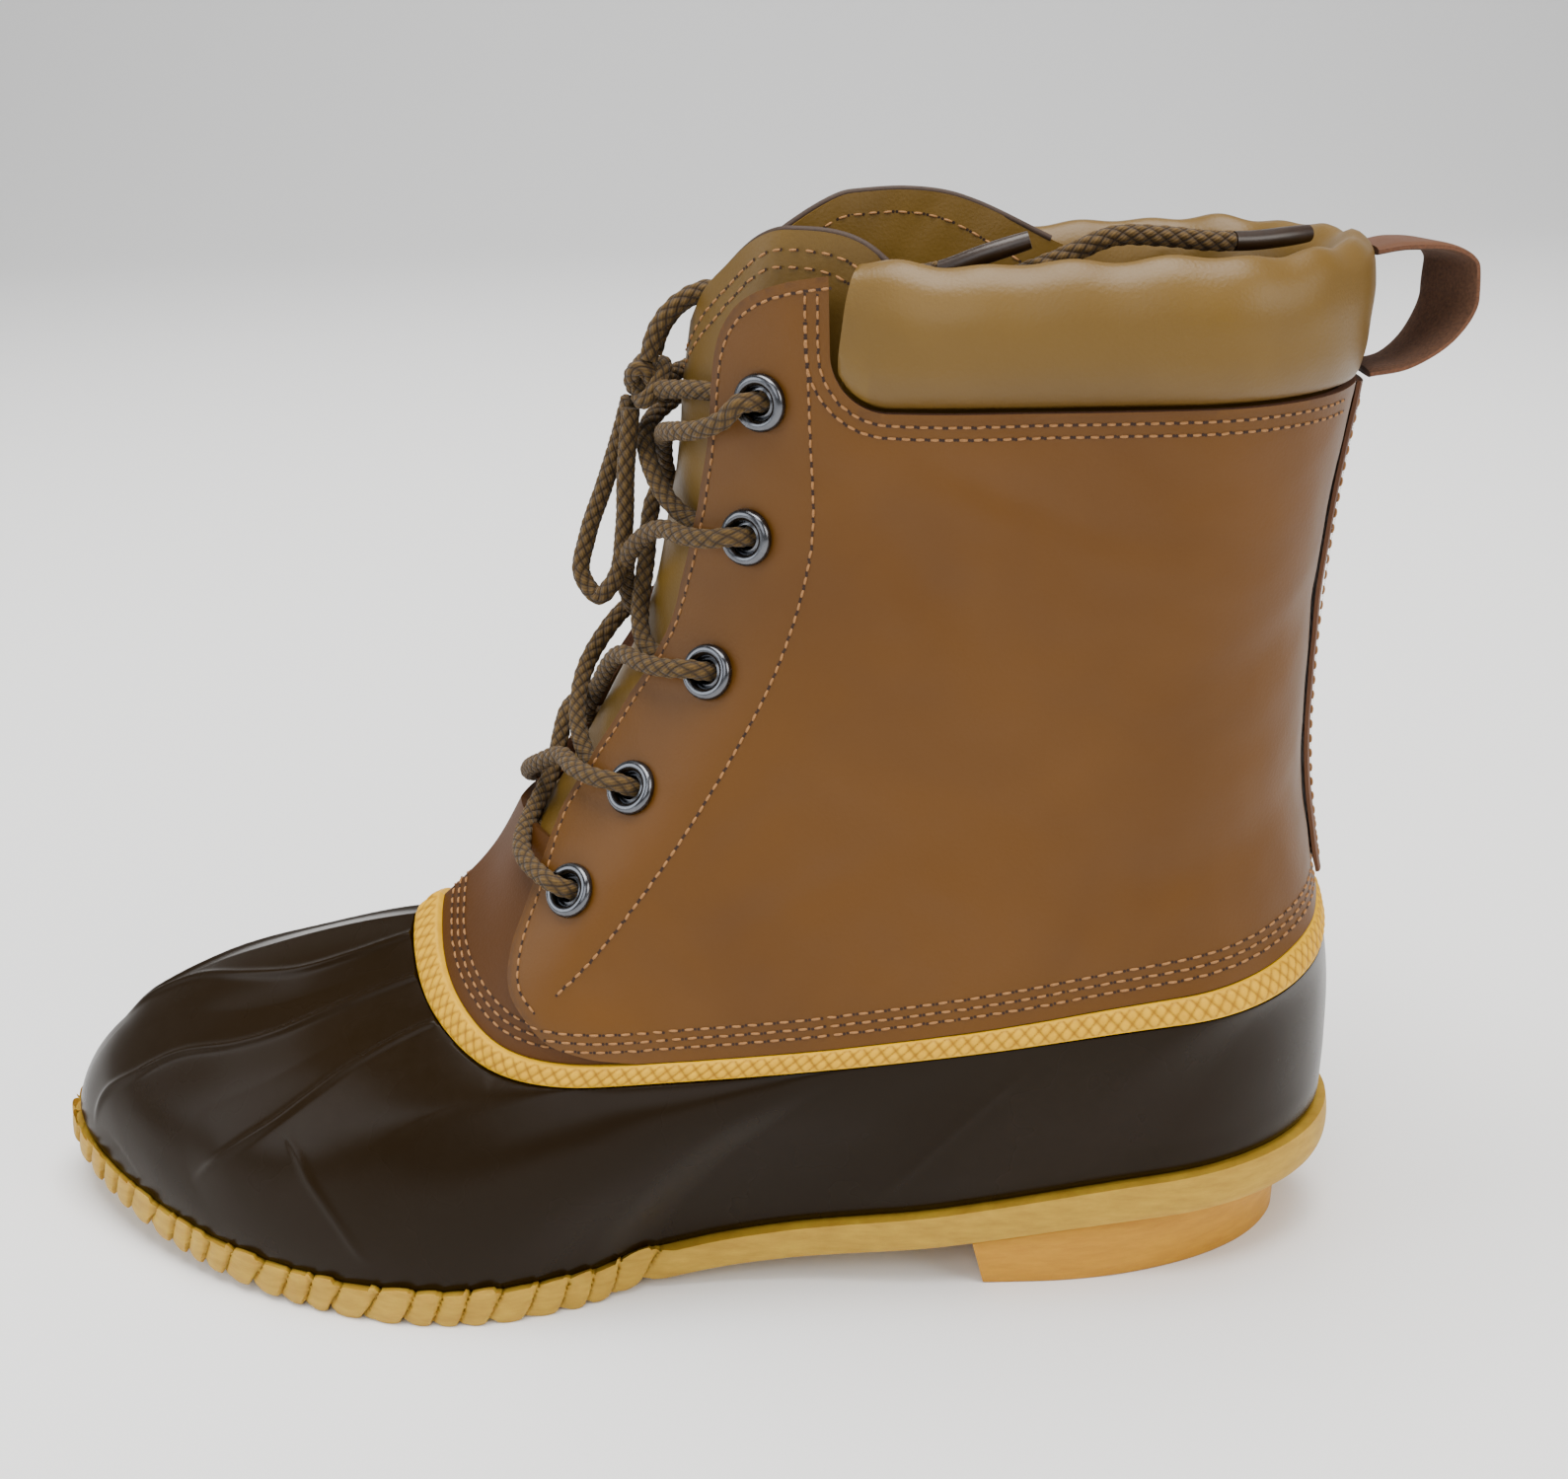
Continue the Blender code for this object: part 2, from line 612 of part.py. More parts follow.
def make_heel(finish):
    back = BACK_X + HEEL_BACK_INSET
    share = (1 - np.cos(np.linspace(0, math.pi / 2, 16)))
    low_back = back + HEEL_RAKE
    low_x = low_back + (HEEL_BREAST_X - HEEL_BREAST_SLOPE - low_back) * share
    high_x = back + (HEEL_BREAST_X - back) * share

    def half(x, start, inset):
        rounding = quarter_round(x - start, HEEL_BACK_ROUND)
        return {side: side * (np.abs(sole_edge_y(np.maximum(x, BACK_X + HEEL_ROUND), side)) - inset) * rounding
                for side in (1, -1)}

    return station_solid("heel", low_x, high_x, half(low_x, low_back, HEEL_SIDE_INSET + HEEL_RAKE),
                         half(high_x, back, HEEL_SIDE_INSET), low_x * 0.0, sole_low(high_x) - GAP, finish)


def make_insole(finish):
    inset = WELT_MARGIN + RUBBER_WALL + INSOLE_CLEAR
    x = BACK_X + inset + (SOLE_LENGTH - 2 * inset) * ends_crowded(26)
    half = {side: sole_edge_y(x, side, inset) for side in (1, -1)}
    return station_solid("insole", x, x, half, half, sole_top(x) + GAP, sole_top(x) + GAP + INSOLE_WALL, finish)


def rib_height(u, v):
    """Height of the toe ribs at a place on the rubber lower; v is 0 at the sole and 1 at the rim."""
    total = np.zeros(np.broadcast(u, v).shape)
    for u_rim, u_end, v_end, v_rim in TOE_RIBS:
        t = np.clip((v_rim - v) / (v_rim - v_end), 0, 1)
        middle = u_rim + (u_end - u_rim) * t
        near = np.clip(1 - np.abs(u - middle) / RIB_SPAN, 0, 1)
        ends = ease(v, v_end - 0.03, v_end + 0.10) * (1 - ease(v, v_rim - 0.06, v_rim + 0.02))
        total = np.maximum(total, RIB_HEIGHT * near * ends)
    return total


def make_shell(finish):
    u = round_u()
    rows = []
    for v in np.sin(np.linspace(0, 1, 10) * math.pi / 2):
        rows.append(surface(u, v * RIM, rib_height(u, np.full(len(u), v))))
    flange_out = -(LEATHER_WALL + VAMP_STEP + FLANGE_CLEAR)
    flange_in = flange_out - FLANGE_WALL
    climbs = [np.zeros(len(u)), band_width(u) + 0.5 * GAP, np.full(len(u), FLANGE_HEIGHT)]
    for climb in climbs:
        rows.append(surface(u, row_above_rim(u, climb), np.full(len(u), flange_out)))
    for climb in climbs[:0:-1]:
        rows.append(surface(u, row_above_rim(u, climb), np.full(len(u), flange_in)))
    for v in (1.0, 0.85, 0.55, 0.28, 0.0):
        wall = RUBBER_WALL + (-flange_in - RUBBER_WALL) * ease(v, 0.7, 0.97)
        inner = surface(u, v * RIM, np.full(len(u), -wall))
        if v == 0.0:
            inner[:, 2] = surface(u, 0.0)[:, 2]
        rows.append(inner)
    return skin("shell", rows, finish, sharp=60.0)


BAND_LINE = [
    # round, width of the band
    (0.00, 0.0080),
    (0.25, 0.0058),
    (0.55, 0.0050),
    (0.80, 0.0058),
    (0.93, 0.0080),
    (1.00, 0.0085),
]


def band_width(u):
    g = 1 - np.abs(2 * np.asarray(u) - 1)
    return smooth_through(g, column(BAND_LINE, 0), column(BAND_LINE, 1))


def make_band(finish):
    u = round_u()
    rows = []
    back = -(LEATHER_WALL + VAMP_STEP)
    for share, offset in ((0.0, back), (0.0, 0.0), (0.12, BAND_PROUD * 0.8), (0.5, BAND_PROUD),
                          (0.88, BAND_PROUD * 0.8), (1.0, 0.0), (1.0, back)):
        climb = GAP + (band_width(u) - GAP) * share
        rows.append(surface(u, row_above_rim(u, climb), np.full(len(u), offset)))
    return skin("band", rows, finish, sharp=60.0)


def throat_outline(shrink):
    """Front edges of the quarters seen from the front, as y and z; shrink draws them in."""
    z = np.linspace(QUARTER_EDGE[0][0], QUARTER_EDGE[-1][0], 27) * SHAFT_HEIGHT
    half = ANKLE_WIDTH * smooth_through(z / SHAFT_HEIGHT, column(QUARTER_EDGE, 0), column(QUARTER_EDGE, 1)) - shrink
    outer = [(THROAT_CENTRE_Y + h, k) for h, k in zip(half, z)]
    inner = [(THROAT_CENTRE_Y - h, k) for h, k in zip(half, z)]
    return outer + [(THROAT_CENTRE_Y + half[-1], CUT_TOP), (THROAT_CENTRE_Y - half[-1], CUT_TOP)] + inner[::-1]


def throat_edge_y(z, side):
    half = ANKLE_WIDTH * smooth_through(z / SHAFT_HEIGHT, column(QUARTER_EDGE, 0), column(QUARTER_EDGE, 1))
    return THROAT_CENTRE_Y + side * half


def column_where(z, wanted, axis, side):
    """The column on one side of the boot where the form at height z has the wanted x or y."""
    u = np.linspace(0.5, 0.02, 240) if side > 0 else np.linspace(0.5, 0.98, 240)
    p = surface(u, row_at_height(u, z))
    value = p[:, axis] if axis == 0 else side * p[:, axis]
    want = wanted if axis == 0 else side * wanted
    if axis == 0:
        k = int(np.argmax(value <= want))
    else:
        k = int(np.argmax(value >= want))
    k = max(k, 1)
    t = (want - value[k - 1]) / (value[k] - value[k - 1])
    return u[k - 1] + t * (u[k] - u[k - 1])


def window_outline():
    """The collar window seen from the side, as x and z."""
    corner, front, low = WINDOW_CORNER, WINDOW_FRONT_X, WINDOW_HEIGHT
    points = [(-CUT_REACH, low)]
    for t in np.linspace(-math.pi / 2, 0, 7):
        points.append((front - corner + corner * math.cos(t), low + corner + corner * math.sin(t)))
    points += [(front, CUT_TOP), (-CUT_REACH, CUT_TOP)]
    return points


def window_edge(x):
    """Height of the window's lower edge at x, with its round front corner."""
    start = WINDOW_FRONT_X - WINDOW_CORNER
    t = np.clip((x - start) / WINDOW_CORNER, 0, 1)
    return WINDOW_HEIGHT + WINDOW_CORNER * (1 - np.sqrt(1 - t * t))


def eyelet_places():
    """Columns and heights of the eyelets: (side, number) to (u, row)."""
    places = {}
    for number, (share, setback) in enumerate(EYELETS):
        z = share * SHAFT_HEIGHT
        for side in (1, -1):
            start = column_where(z, throat_edge_y(z, side), 1, side)
            u = start + np.linspace(0, 0.12, 60) * (-side)
            p = surface(u, row_at_height(u, z))
            run = np.concatenate([[0], np.cumsum(np.linalg.norm(np.diff(p, axis=0), axis=1))])
            at = float(np.interp(setback, run, u))
            places[side, number + 1] = (at, float(row_at_height(at, z)[0]))
    return places


def frame_at(u, row):
    """Point, outward normal and two directions in the surface."""
    p = surface(u, row)
    n = net_at(NORMAL, u, row)
    n = n / np.linalg.norm(n)
    up = surface(u, row + 1.5) - surface(u, row - 1.5)
    up = up - n * up.dot(n)
    up /= np.linalg.norm(up)
    return p, n, up, np.cross(up, n)


def turned(name, place, profile, sides, finish):
    """A profile of (radius, height) points turned about the outward normal at a place."""
    p, n, up, across = frame_at(*place)
    rows = []
    angle = np.arange(sides) / sides * 2 * math.pi
    for radius, height in profile:
        rows.append(p + n * height + radius * (np.cos(angle)[:, None] * up + np.sin(angle)[:, None] * across))
    return skin(name, rows, finish, sharp=50.0)


def make_eyelets(places, finish):
    barrel = EYELET_BORE + EYELET_WALL
    reach = LEATHER_WALL + GAP
    profile = [
        (EYELET_BORE, EYELET_SEAT + 0.3 * EYELET_RISE),
        (0.5 * (EYELET_BORE + EYELET_OUTER), EYELET_SEAT + EYELET_RISE),
        (EYELET_OUTER, EYELET_SEAT),
        (barrel, EYELET_SEAT),
        (barrel, -reach),
        (EYELET_BORE, -reach),
    ]
    for (side, number), place in places.items():
        name = "eyelet_%s_%d" % ("outer" if side > 0 else "inner", number)
        turned(name, place, profile, EYELET_SIDES, finish)


def make_upper(finish, places):
    u = round_u()
    start = band_width(u) + GAP
    low = row_above_rim(u, start)
    top = row_at_height(u, SHAFT_HEIGHT)
    outer = [surface(u, low + (top - low) * t) for t in UPPER_ROWS]
    inner = [surface(u, low + (top - low) * t, np.full(len(u), -LEATHER_WALL)) for t in UPPER_ROWS[::-1]]
    upper = skin("upper", outer + inner, finish, sharp=60.0)
    front = prism("cut_throat", throat_outline(0.0), 0, THROAT_CUT_BACK, SOLE_LENGTH)
    window = prism("cut_window", window_outline(), 1, -CUT_REACH, CUT_REACH)
    boolean(upper, front, "DIFFERENCE")
    boolean(upper, window, "DIFFERENCE")
    verts, faces = [], []
    for place in places.values():
        p, n, up, across = frame_at(*place)
        radius = EYELET_BORE + EYELET_WALL + GAP
        base = len(verts)
        for height in (-3 * LEATHER_WALL, 2 * LEATHER_WALL):
            for k in range(HOLE_SIDES):
                a = 2 * math.pi * k / HOLE_SIDES
                verts.append(p + n * height + radius * (math.cos(a) * up + math.sin(a) * across))
        ring = [base + k for k in range(HOLE_SIDES)]
        faces.append(ring[::-1])
        faces.append([k + HOLE_SIDES for k in ring])
        faces += [(a, b, b + HOLE_SIDES, a + HOLE_SIDES) for a, b in zip(ring, ring[1:] + ring[:1])]
    boolean(upper, cutter("cut_eyelets", verts, faces), "DIFFERENCE")
    return upper


def vamp_top_row(u):
    """Upper end of the vamp, a little above the foot of the throat."""
    return row_at_height(u, SHAFT_HEIGHT * VAMP_TOP)


def make_vamp(finish):
    u = np.array([c for c in round_u() if VAMP_BACK < c < 1 - VAMP_BACK])
    low = row_above_rim(u, band_width(u) + GAP)
    high = vamp_top_row(u)
    steps = (0.0, 0.25, 0.5, 0.75, 1.0)
    face, back = -VAMP_STEP, -(VAMP_STEP + LEATHER_WALL)
    rows = [surface(u, low + (high - low) * t, np.full(len(u), face)) for t in steps]
    rows += [surface(u, low + (high - low) * t, np.full(len(u), back)) for t in steps[::-1]]
    vamp = skin("vamp", rows, finish, closed_round=False, sharp=60.0)
    boolean(vamp, prism("keep_vamp", throat_outline(GAP), 0, THROAT_CUT_BACK + GAP, SOLE_LENGTH), "INTERSECT")
    return vamp


def make_collar(finish):
    mid = 0.5 * (WINDOW_HEIGHT + SHAFT_HEIGHT)
    low = WINDOW_HEIGHT + 0.5 * WINDOW_CORNER
    start = column_where(low, WINDOW_FRONT_X - COLLAR_END_GAP, 0, 1)
    stop = column_where(low, WINDOW_FRONT_X - COLLAR_END_GAP, 0, -1)
    every = round_u()
    margin = 0.4 / COLUMNS
    u = np.concatenate([[start], every[every < start - margin][::-1], every[every > stop + margin][::-1], [stop]])
    x = surface(u, row_at_height(u, mid))[:, 0]
    edge = WINDOW_HEIGHT + 0 * x
    for _ in range(3):
        at_edge = surface(u, row_at_height(u, edge))[:, 0]
        edge = window_edge(np.minimum(at_edge, WINDOW_FRONT_X - 0.5 * COLLAR_END_GAP))
    crown = SHAFT_HEIGHT - COLLAR_CROWN_DROP
    wall = LEATHER_WALL + COLLAR_CLEAR
    span = crown - edge
    fade = ease(x, WINDOW_FRONT_X, WINDOW_FRONT_X - COLLAR_FADE)
    section = [
        # out from the leather's face, up from the window's edge, share of the way up to the crown
        (-wall, -COLLAR_TUCK, 0.0),
        (-wall, 2 * GAP, 0.0),
        (-GAP, 3 * GAP, 0.02),
        (COLLAR_PUFF * 0.75, 0.0, 0.20),
        (COLLAR_PUFF, 0.0, 0.45),
        (COLLAR_PUFF * 0.70, 0.0, 0.72),
        (-COLLAR_DEPTH * 0.12, 0.0, 0.92),
        (-COLLAR_DEPTH * 0.50, 0.0, 1.00),
        (-COLLAR_DEPTH * 0.90, 0.0, 0.88),
        (-COLLAR_DEPTH, 0.0, 0.45),
        (-COLLAR_DEPTH * 0.84, -COLLAR_TUCK * 0.5, 0.0),
        (-COLLAR_DEPTH * 0.53, -COLLAR_TUCK, 0.0),
    ]
    rows = []
    for offset, lift, share in section:
        z = edge + lift + span * share
        out = np.full(len(u), offset)
        if offset > 0:
            back = COLLAR_BACK_PUFF + (1 - COLLAR_BACK_PUFF) * ease(x, BACK_X, 0.0)
            out = offset * (0.35 + 0.65 * fade) * back
        rows.append(surface(u, row_at_height(u, z), out))
    return skin("collar", rows, finish, closed_round=False, sharp=60.0)


def make_tongue(finish):
    top_z = SHAFT_HEIGHT
    outer_u = column_where(top_z, TONGUE_OUTER_X, 0, 1)
    inner_u = column_where(top_z, TONGUE_INNER_X, 0, -1)
    across = np.linspace(-1, 1, 15)
    steps = np.linspace(0, 1, 11)
    grid_out, grid_in = [], []
    for t in steps:
        spread = 0.55 + 0.45 * ease(t, 0.35, 0.95)
        u = np.where(across < 0, 0.5 + across * (0.5 - outer_u) * spread, 0.5 + across * (inner_u - 0.5) * spread)
        foot = np.asarray(vamp_top_row(u)) - TONGUE_FOOT_ROWS
        crest = smooth_through(across, column(TONGUE_TOP, 0), column(TONGUE_TOP, 1)) * SHAFT_HEIGHT
        head = row_at_height(u, np.minimum(crest, SHAFT_HEIGHT * 1.055))
        row = foot + (head - foot) * t
        deep = LEATHER_WALL + VAMP_STEP + 2 * GAP
        clear = LEATHER_WALL + TONGUE_SPACE
        behind = COLLAR_DEPTH + 3 * GAP
        x = surface(u, row)[:, 0]
        beside_collar = 1 - ease(x, WINDOW_FRONT_X, WINDOW_FRONT_X + COLLAR_FADE)
        offset = deep + (clear - deep) * ease(t, 0.04, 0.12)
        offset = offset + np.maximum(behind - offset, 0) * beside_collar * ease(t, 0.35, 0.62)
        grid_out.append(surface(u, row, -offset))
        thick = TONGUE_WALL * (0.40 + 0.60 * (1 - np.abs(across) ** 4)) * (0.55 + 0.45 * (1 - t**8))
        grid_in.append(surface(u, row, -offset - thick))
    return skin("tongue", grid_out + grid_in[::-1], finish, closed_round=False, sharp=60.0)


def ribbon(name, line, sideways, width, thickness, outward, finish):
    """A strap along a line; sideways and outward are its directions at each point."""
    rows = []
    for a, b in ((-0.5, 0), (0.5, 0), (0.5, 1), (-0.5, 1)):
        rows.append(line + sideways * width * a + outward * thickness * b)
    return skin(name, rows, finish, closed_round=False, sharp=45.0)


def make_back_strap(finish):
    """The strip that covers the back seam, from the band to the collar window's edge."""
    start = float(row_above_rim(0.0, band_width(0.0) + GAP)[0])
    end = float(row_at_height(0.0, SHAFT_HEIGHT)[0])
    low = float(row_above_rim(0.0, band_width(0.0) + BACK_STRIP_FOOT)[0])
    high = float(row_at_height(0.0, WINDOW_HEIGHT - 3 * GAP)[0])
    rows = [low] + [start + (end - start) * t for t in UPPER_ROWS if low < start + (end - start) * t < high] + [high]
    widths = np.linspace(-0.5, 0.5, 5) * BACK_STRIP_WIDTH
    layers = []
    for layer in (STRAP_LIFT, STRAP_LIFT + BACK_STRIP_WALL):
        for w in (widths if layer == STRAP_LIFT else widths[::-1]):
            line = []
            for r in rows:
                near = surface(0.004, r) - surface(0.0, r)
                per_u = np.linalg.norm(near) / 0.004
                u = (w / per_u) % 1.0
                line.append(surface(u, r, layer))
            layers.append(np.array(line))
    return skin("back_strap", layers, finish, closed_round=False, sharp=45.0)


PULL_LOOP = [
    # behind the collar's back, above the window's edge: shares of the strap width
    (-0.045, 0.07),
    (0.36, 0.16),
    (0.74, 0.46),
    (0.95, 0.88),
    (0.94, 1.24),
    (0.66, 1.43),
    (0.32, 1.45),
    (-0.02, 1.40),
]


def make_pull_loop(finish):
    """The strap's upper end, folded back over itself and sewn at the collar."""
    middle = float(row_at_height(0.0, 0.5 * (WINDOW_HEIGHT + SHAFT_HEIGHT))[0])
    face = surface(0.0, middle, COLLAR_BACK_PUFF * COLLAR_PUFF + GAP)[0]
    t = np.linspace(0, 1, 17)
    knots = np.linspace(0, 1, len(PULL_LOOP))
    x = face - STRAP_WIDTH * smooth_through(t, knots, column(PULL_LOOP, 0))
    z = WINDOW_HEIGHT + STRAP_WIDTH * smooth_through(t, knots, column(PULL_LOOP, 1))
    line = np.stack([x, x * 0, z], 1)
    run = np.gradient(line, axis=0)
    run /= np.linalg.norm(run, axis=1)[:, None]
    out = np.stack([run[:, 2], run[:, 1] * 0, -run[:, 0]], 1) * -1
    return ribbon("pull_loop", line, np.array([0, 1.0, 0]), STRAP_WIDTH, STRAP_WALL, out, finish)


def smooth_line(points, spacing):
    """A smooth curve through hand-chosen points, read at even steps."""
    p = np.array(points, float)
    run = np.concatenate([[0], np.cumsum(np.linalg.norm(np.diff(p, axis=0), axis=1))])
    slope = np.gradient(p, run, axis=0)
    fine = np.linspace(0, run[-1], 400)
    k = np.clip(np.searchsorted(run, fine, side="right") - 1, 0, len(p) - 2)
    h = (run[k + 1] - run[k])[:, None]
    t = (fine - run[k])[:, None] / h
    q = ((2 * t**3 - 3 * t**2 + 1) * p[k] + (t**3 - 2 * t**2 + t) * h * slope[k]
         + (3 * t**2 - 2 * t**3) * p[k + 1] + (t**3 - t**2) * h * slope[k + 1])
    length = np.concatenate([[0], np.cumsum(np.linalg.norm(np.diff(q, axis=0), axis=1))])
    steps = max(3, int(round(length[-1] / spacing)))
    at = np.linspace(0, length[-1], steps + 1)
    return np.stack([np.interp(at, length, q[:, j]) for j in range(3)], 1)


def add_cord(name, points, finish):
    line = smooth_line(points, 2.2 * LACE)
    curve = bpy.data.curves.new(name, "CURVE")
    curve.dimensions = "3D"
    curve.bevel_depth = LACE / 2
    curve.bevel_resolution = 2
    curve.use_fill_caps = True
    spline = curve.splines.new("POLY")
    spline.points.add(len(line) - 1)
    for point, place in zip(spline.points, line):
        point.co = (*map(float, place), 1.0)
    curve.materials.append(finish)
    ob = bpy.data.objects.new(name, curve)
    bpy.context.scene.collection.objects.link(ob)
    return ob


def tube_mesh(line):
    """Vertices and faces of a closed tube along a line."""
    sides = CORD_SIDES
    run = np.gradient(line, axis=0)
    run /= np.linalg.norm(run, axis=1)[:, None]
    side = np.cross(run[0], [0, 0, 1.0])
    verts, faces = [], []
    for k, (p, d) in enumerate(zip(line, run)):
        side = side - d * side.dot(d)
        side /= np.linalg.norm(side)
        other = np.cross(d, side)
        for j in range(sides):
            a = 2 * math.pi * j / sides
            verts.append(p + 0.5 * LACE * (math.cos(a) * side + math.sin(a) * other))
        if k:
            base = k * sides
            faces += [(base - sides + j, base - sides + (j + 1) % sides, base + (j + 1) % sides, base + j)
                      for j in range(sides)]
    faces.append(list(range(sides))[::-1])
    faces.append([len(verts) - sides + j for j in range(sides)])
    return verts, faces


def beside(place, share, offset):
    """A place between an eyelet (0) and the middle of the throat (1), at the eyelet's height."""
    u, row = place
    return surface(u + (0.5 - u) * share, row, offset)


def edge_share(place, side):
    """How far from the eyelet to the middle of the throat the quarter's edge is."""
    u, row = place
    z = float(surface(u, row)[2])
    return (column_where(z, throat_edge_y(z, side), 1, side) - u) / (0.5 - u)


def run_points(places, side, low, high, from_outside):
    """A lace from one eyelet to the next one up on the other side, over that side's edge."""
    over = 0.5 * LACE + EYELET_SEAT + EYELET_RISE + 2 * GAP
    flat = 0.5 * LACE + 6 * GAP
    under = -(LEATHER_WALL + 0.5 * LACE + GAP)
    start, stop = places[side, low], places[-side, high]
    edge0, edge1 = edge_share(start, side), edge_share(stop, -side)
    if from_outside:
        points = [beside(start, 0.0, over), beside(start, 0.5 * edge0, over), beside(start, edge0 + 0.12, flat)]
    else:
        points = [beside(start, edge0 - 0.16, under), beside(start, edge0 + 0.12, under + GAP)]
    points.append(surface(0.5, 0.5 * (start[1] + stop[1]), CROSSING_SINK))
    points += [beside(stop, edge1 + 0.14, flat), beside(stop, 0.5 * edge1, over), beside(stop, 0.0, over)]
    return points


def join_tubes(name, lines, finish):
    """Tubes joined into one solid, named after the first."""
    first = None
    for number, line in enumerate(lines):
        verts, faces = tube_mesh(line)
        if first is None:
            first = add_mesh(name, verts, faces, finish)
            continue
        tool = cutter("join_%s_%d" % (name, number), verts, faces)
        boolean(first, tool, "UNION")
    return first


def make_crossings(places, finish):
    for low in range(1, len(EYELETS)):
        lines = [smooth_line(run_points(places, side, low, low + 1, low == 1), 2 * LACE) for side in (1, -1)]
        join_tubes("lace_cross_%d" % low, lines, finish)


# The knot, the bow loop and the two ends: places as shares of the sole length, ankle width and shaft height
KNOT = (0.3473, -0.0723, 0.8707)
KNOT_PROFILE = [
    # level, half width, both in lace widths
    (-1.37, 0.58),
    (-0.95, 1.26),
    (0.00, 1.53),
    (0.95, 1.26),
    (1.37, 0.58),
]
KNOT_DEPTH = 0.72          # the knot is narrower from front to back, and wider across
KNOT_WIDTH = 1.15
BOW_LOOP = [
    (0.3627, -0.0988, 0.8523), (0.3710, -0.1241, 0.8176), (0.3850, -0.1386, 0.7658), (0.3983, -0.1386, 0.7162),
    (0.4050, -0.1205, 0.6802), (0.3983, -0.0904, 0.6689), (0.3917, -0.0602, 0.6937), (0.3833, -0.0361, 0.7387),
    (0.3767, -0.0337, 0.7883), (0.3640, -0.0458, 0.8468),
]
LACE_END_SHORT = [
    (0.3467, -0.0241, 0.8941), (0.3417, -0.0181, 0.9167), (0.3283, -0.0120, 0.9414), (0.3050, -0.0181, 0.9572),
    (0.2833, 0.0000, 0.9541), (0.2583, 0.0723, 0.9482), (0.2317, 0.1386, 0.9595), (0.2033, 0.1988, 0.9752),
    (0.1767, 0.2410, 0.9775), (0.1550, 0.2831, 0.9811), (0.1233, 0.3133, 0.9964), (0.0950, 0.3229, 1.0081),
]
LACE_END_LONG = [
    (0.3450, -0.1145, 0.8941), (0.3393, -0.1265, 0.9153), (0.3260, -0.1265, 0.9378), (0.3017, -0.1205, 0.9514),
    (0.2767, -0.0964, 0.9482), (0.2433, -0.0241, 0.9437), (0.2067, 0.0602, 0.9437), (0.1667, 0.1506, 0.9505),
    (0.1300, 0.2289, 0.9640), (0.1000, 0.2831, 0.9775), (0.0750, 0.3072, 0.9910), (0.0417, 0.3133, 1.0090),
    (0.0100, 0.3072, 1.0077), (-0.0200, 0.2892, 1.0023), (-0.0467, 0.2590, 1.0000), (-0.0733, 0.2169, 1.0009),
    (-0.0900, 0.1807, 1.0018),
]


def on_boot(points):
    return np.array(points) * np.array([SOLE_LENGTH, ANKLE_WIDTH, SHAFT_HEIGHT])


def make_knot(places, finish):
    """The knot, with a lace from under each top eyelet's edge."""
    sides = 8
    angle = np.arange(sides) / sides * 2 * math.pi
    centre = on_boot(KNOT)
    rows = []
    for level, wide in KNOT_PROFILE:
        rows.append(centre + LACE * np.stack([KNOT_DEPTH * wide * np.cos(angle), KNOT_WIDTH * wide * np.sin(angle),
                                              angle * 0 + level], 1))
    net = np.array(rows).reshape(-1, 3)
    last = len(net) - sides
    faces = [(i + j, i + (j + 1) % sides, i + sides + (j + 1) % sides, i + sides + j)
             for i in range(0, last, sides) for j in range(sides)]
    faces += [list(range(sides))[::-1], list(range(last, len(net)))]
    knot = add_mesh("lace_knot", net, faces, finish)
    under = -(LEATHER_WALL + 0.5 * LACE + GAP)
    for side in (1, -1):
        place = places[side, len(EYELETS)]
        edge = edge_share(place, side)
        line = [beside(place, edge - 0.10, under), beside(place, edge + 0.12, under + GAP),
                centre + np.array([0.0, side * LACE, 0.0])]
        verts, faces = tube_mesh(smooth_line(line, 2 * LACE))
        boolean(knot, cutter("join_knot_%s" % ("outer" if side > 0 else "inner"), verts, faces), "UNION")


def make_laces(places, finish):
    make_knot(places, finish)
    add_cord("lace_bow", on_boot(BOW_LOOP), finish)
    add_cord("lace_end_short", on_boot(LACE_END_SHORT), finish)
    add_cord("lace_end_long", on_boot(LACE_END_LONG), finish)


def main():
    remove_everything()
    crepe = material("crepe", (0.78, 0.56, 0.20), 0.6)
    heel_crepe = material("heel_crepe", (0.80, 0.50, 0.13), 0.5)
    rubber = material("brown_rubber", (0.035, 0.022, 0.014), 0.35)
    tape = material("yellow_band", (0.80, 0.53, 0.10), 0.55)
    leather = material("tan_leather", (0.36, 0.17, 0.045), 0.5)
    padding = material("olive_leather", (0.33, 0.20, 0.07), 0.45)
    strap = material("strap_leather", (0.28, 0.13, 0.05), 0.6)
    metal = material("dark_nickel", (0.25, 0.27, 0.30), 0.25, 1.0)
    lace = material("lace_braid", (0.24, 0.14, 0.05), 0.8)
    lining = material("insole_board", (0.30, 0.22, 0.12), 0.8)
    make_outsole(crepe)
    make_heel(heel_crepe)
    make_shell(rubber)
    make_band(tape)
    make_insole(lining)
    places = eyelet_places()
    make_upper(leather, places)
    make_vamp(leather)
    make_collar(padding)
    make_tongue(padding)
    make_back_strap(strap)
    make_pull_loop(strap)
    make_eyelets(places, metal)
    make_crossings(places, lace)
    make_laces(places, lace)


main()
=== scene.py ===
import math

import bmesh
import bpy
import numpy as np
from mathutils import Matrix


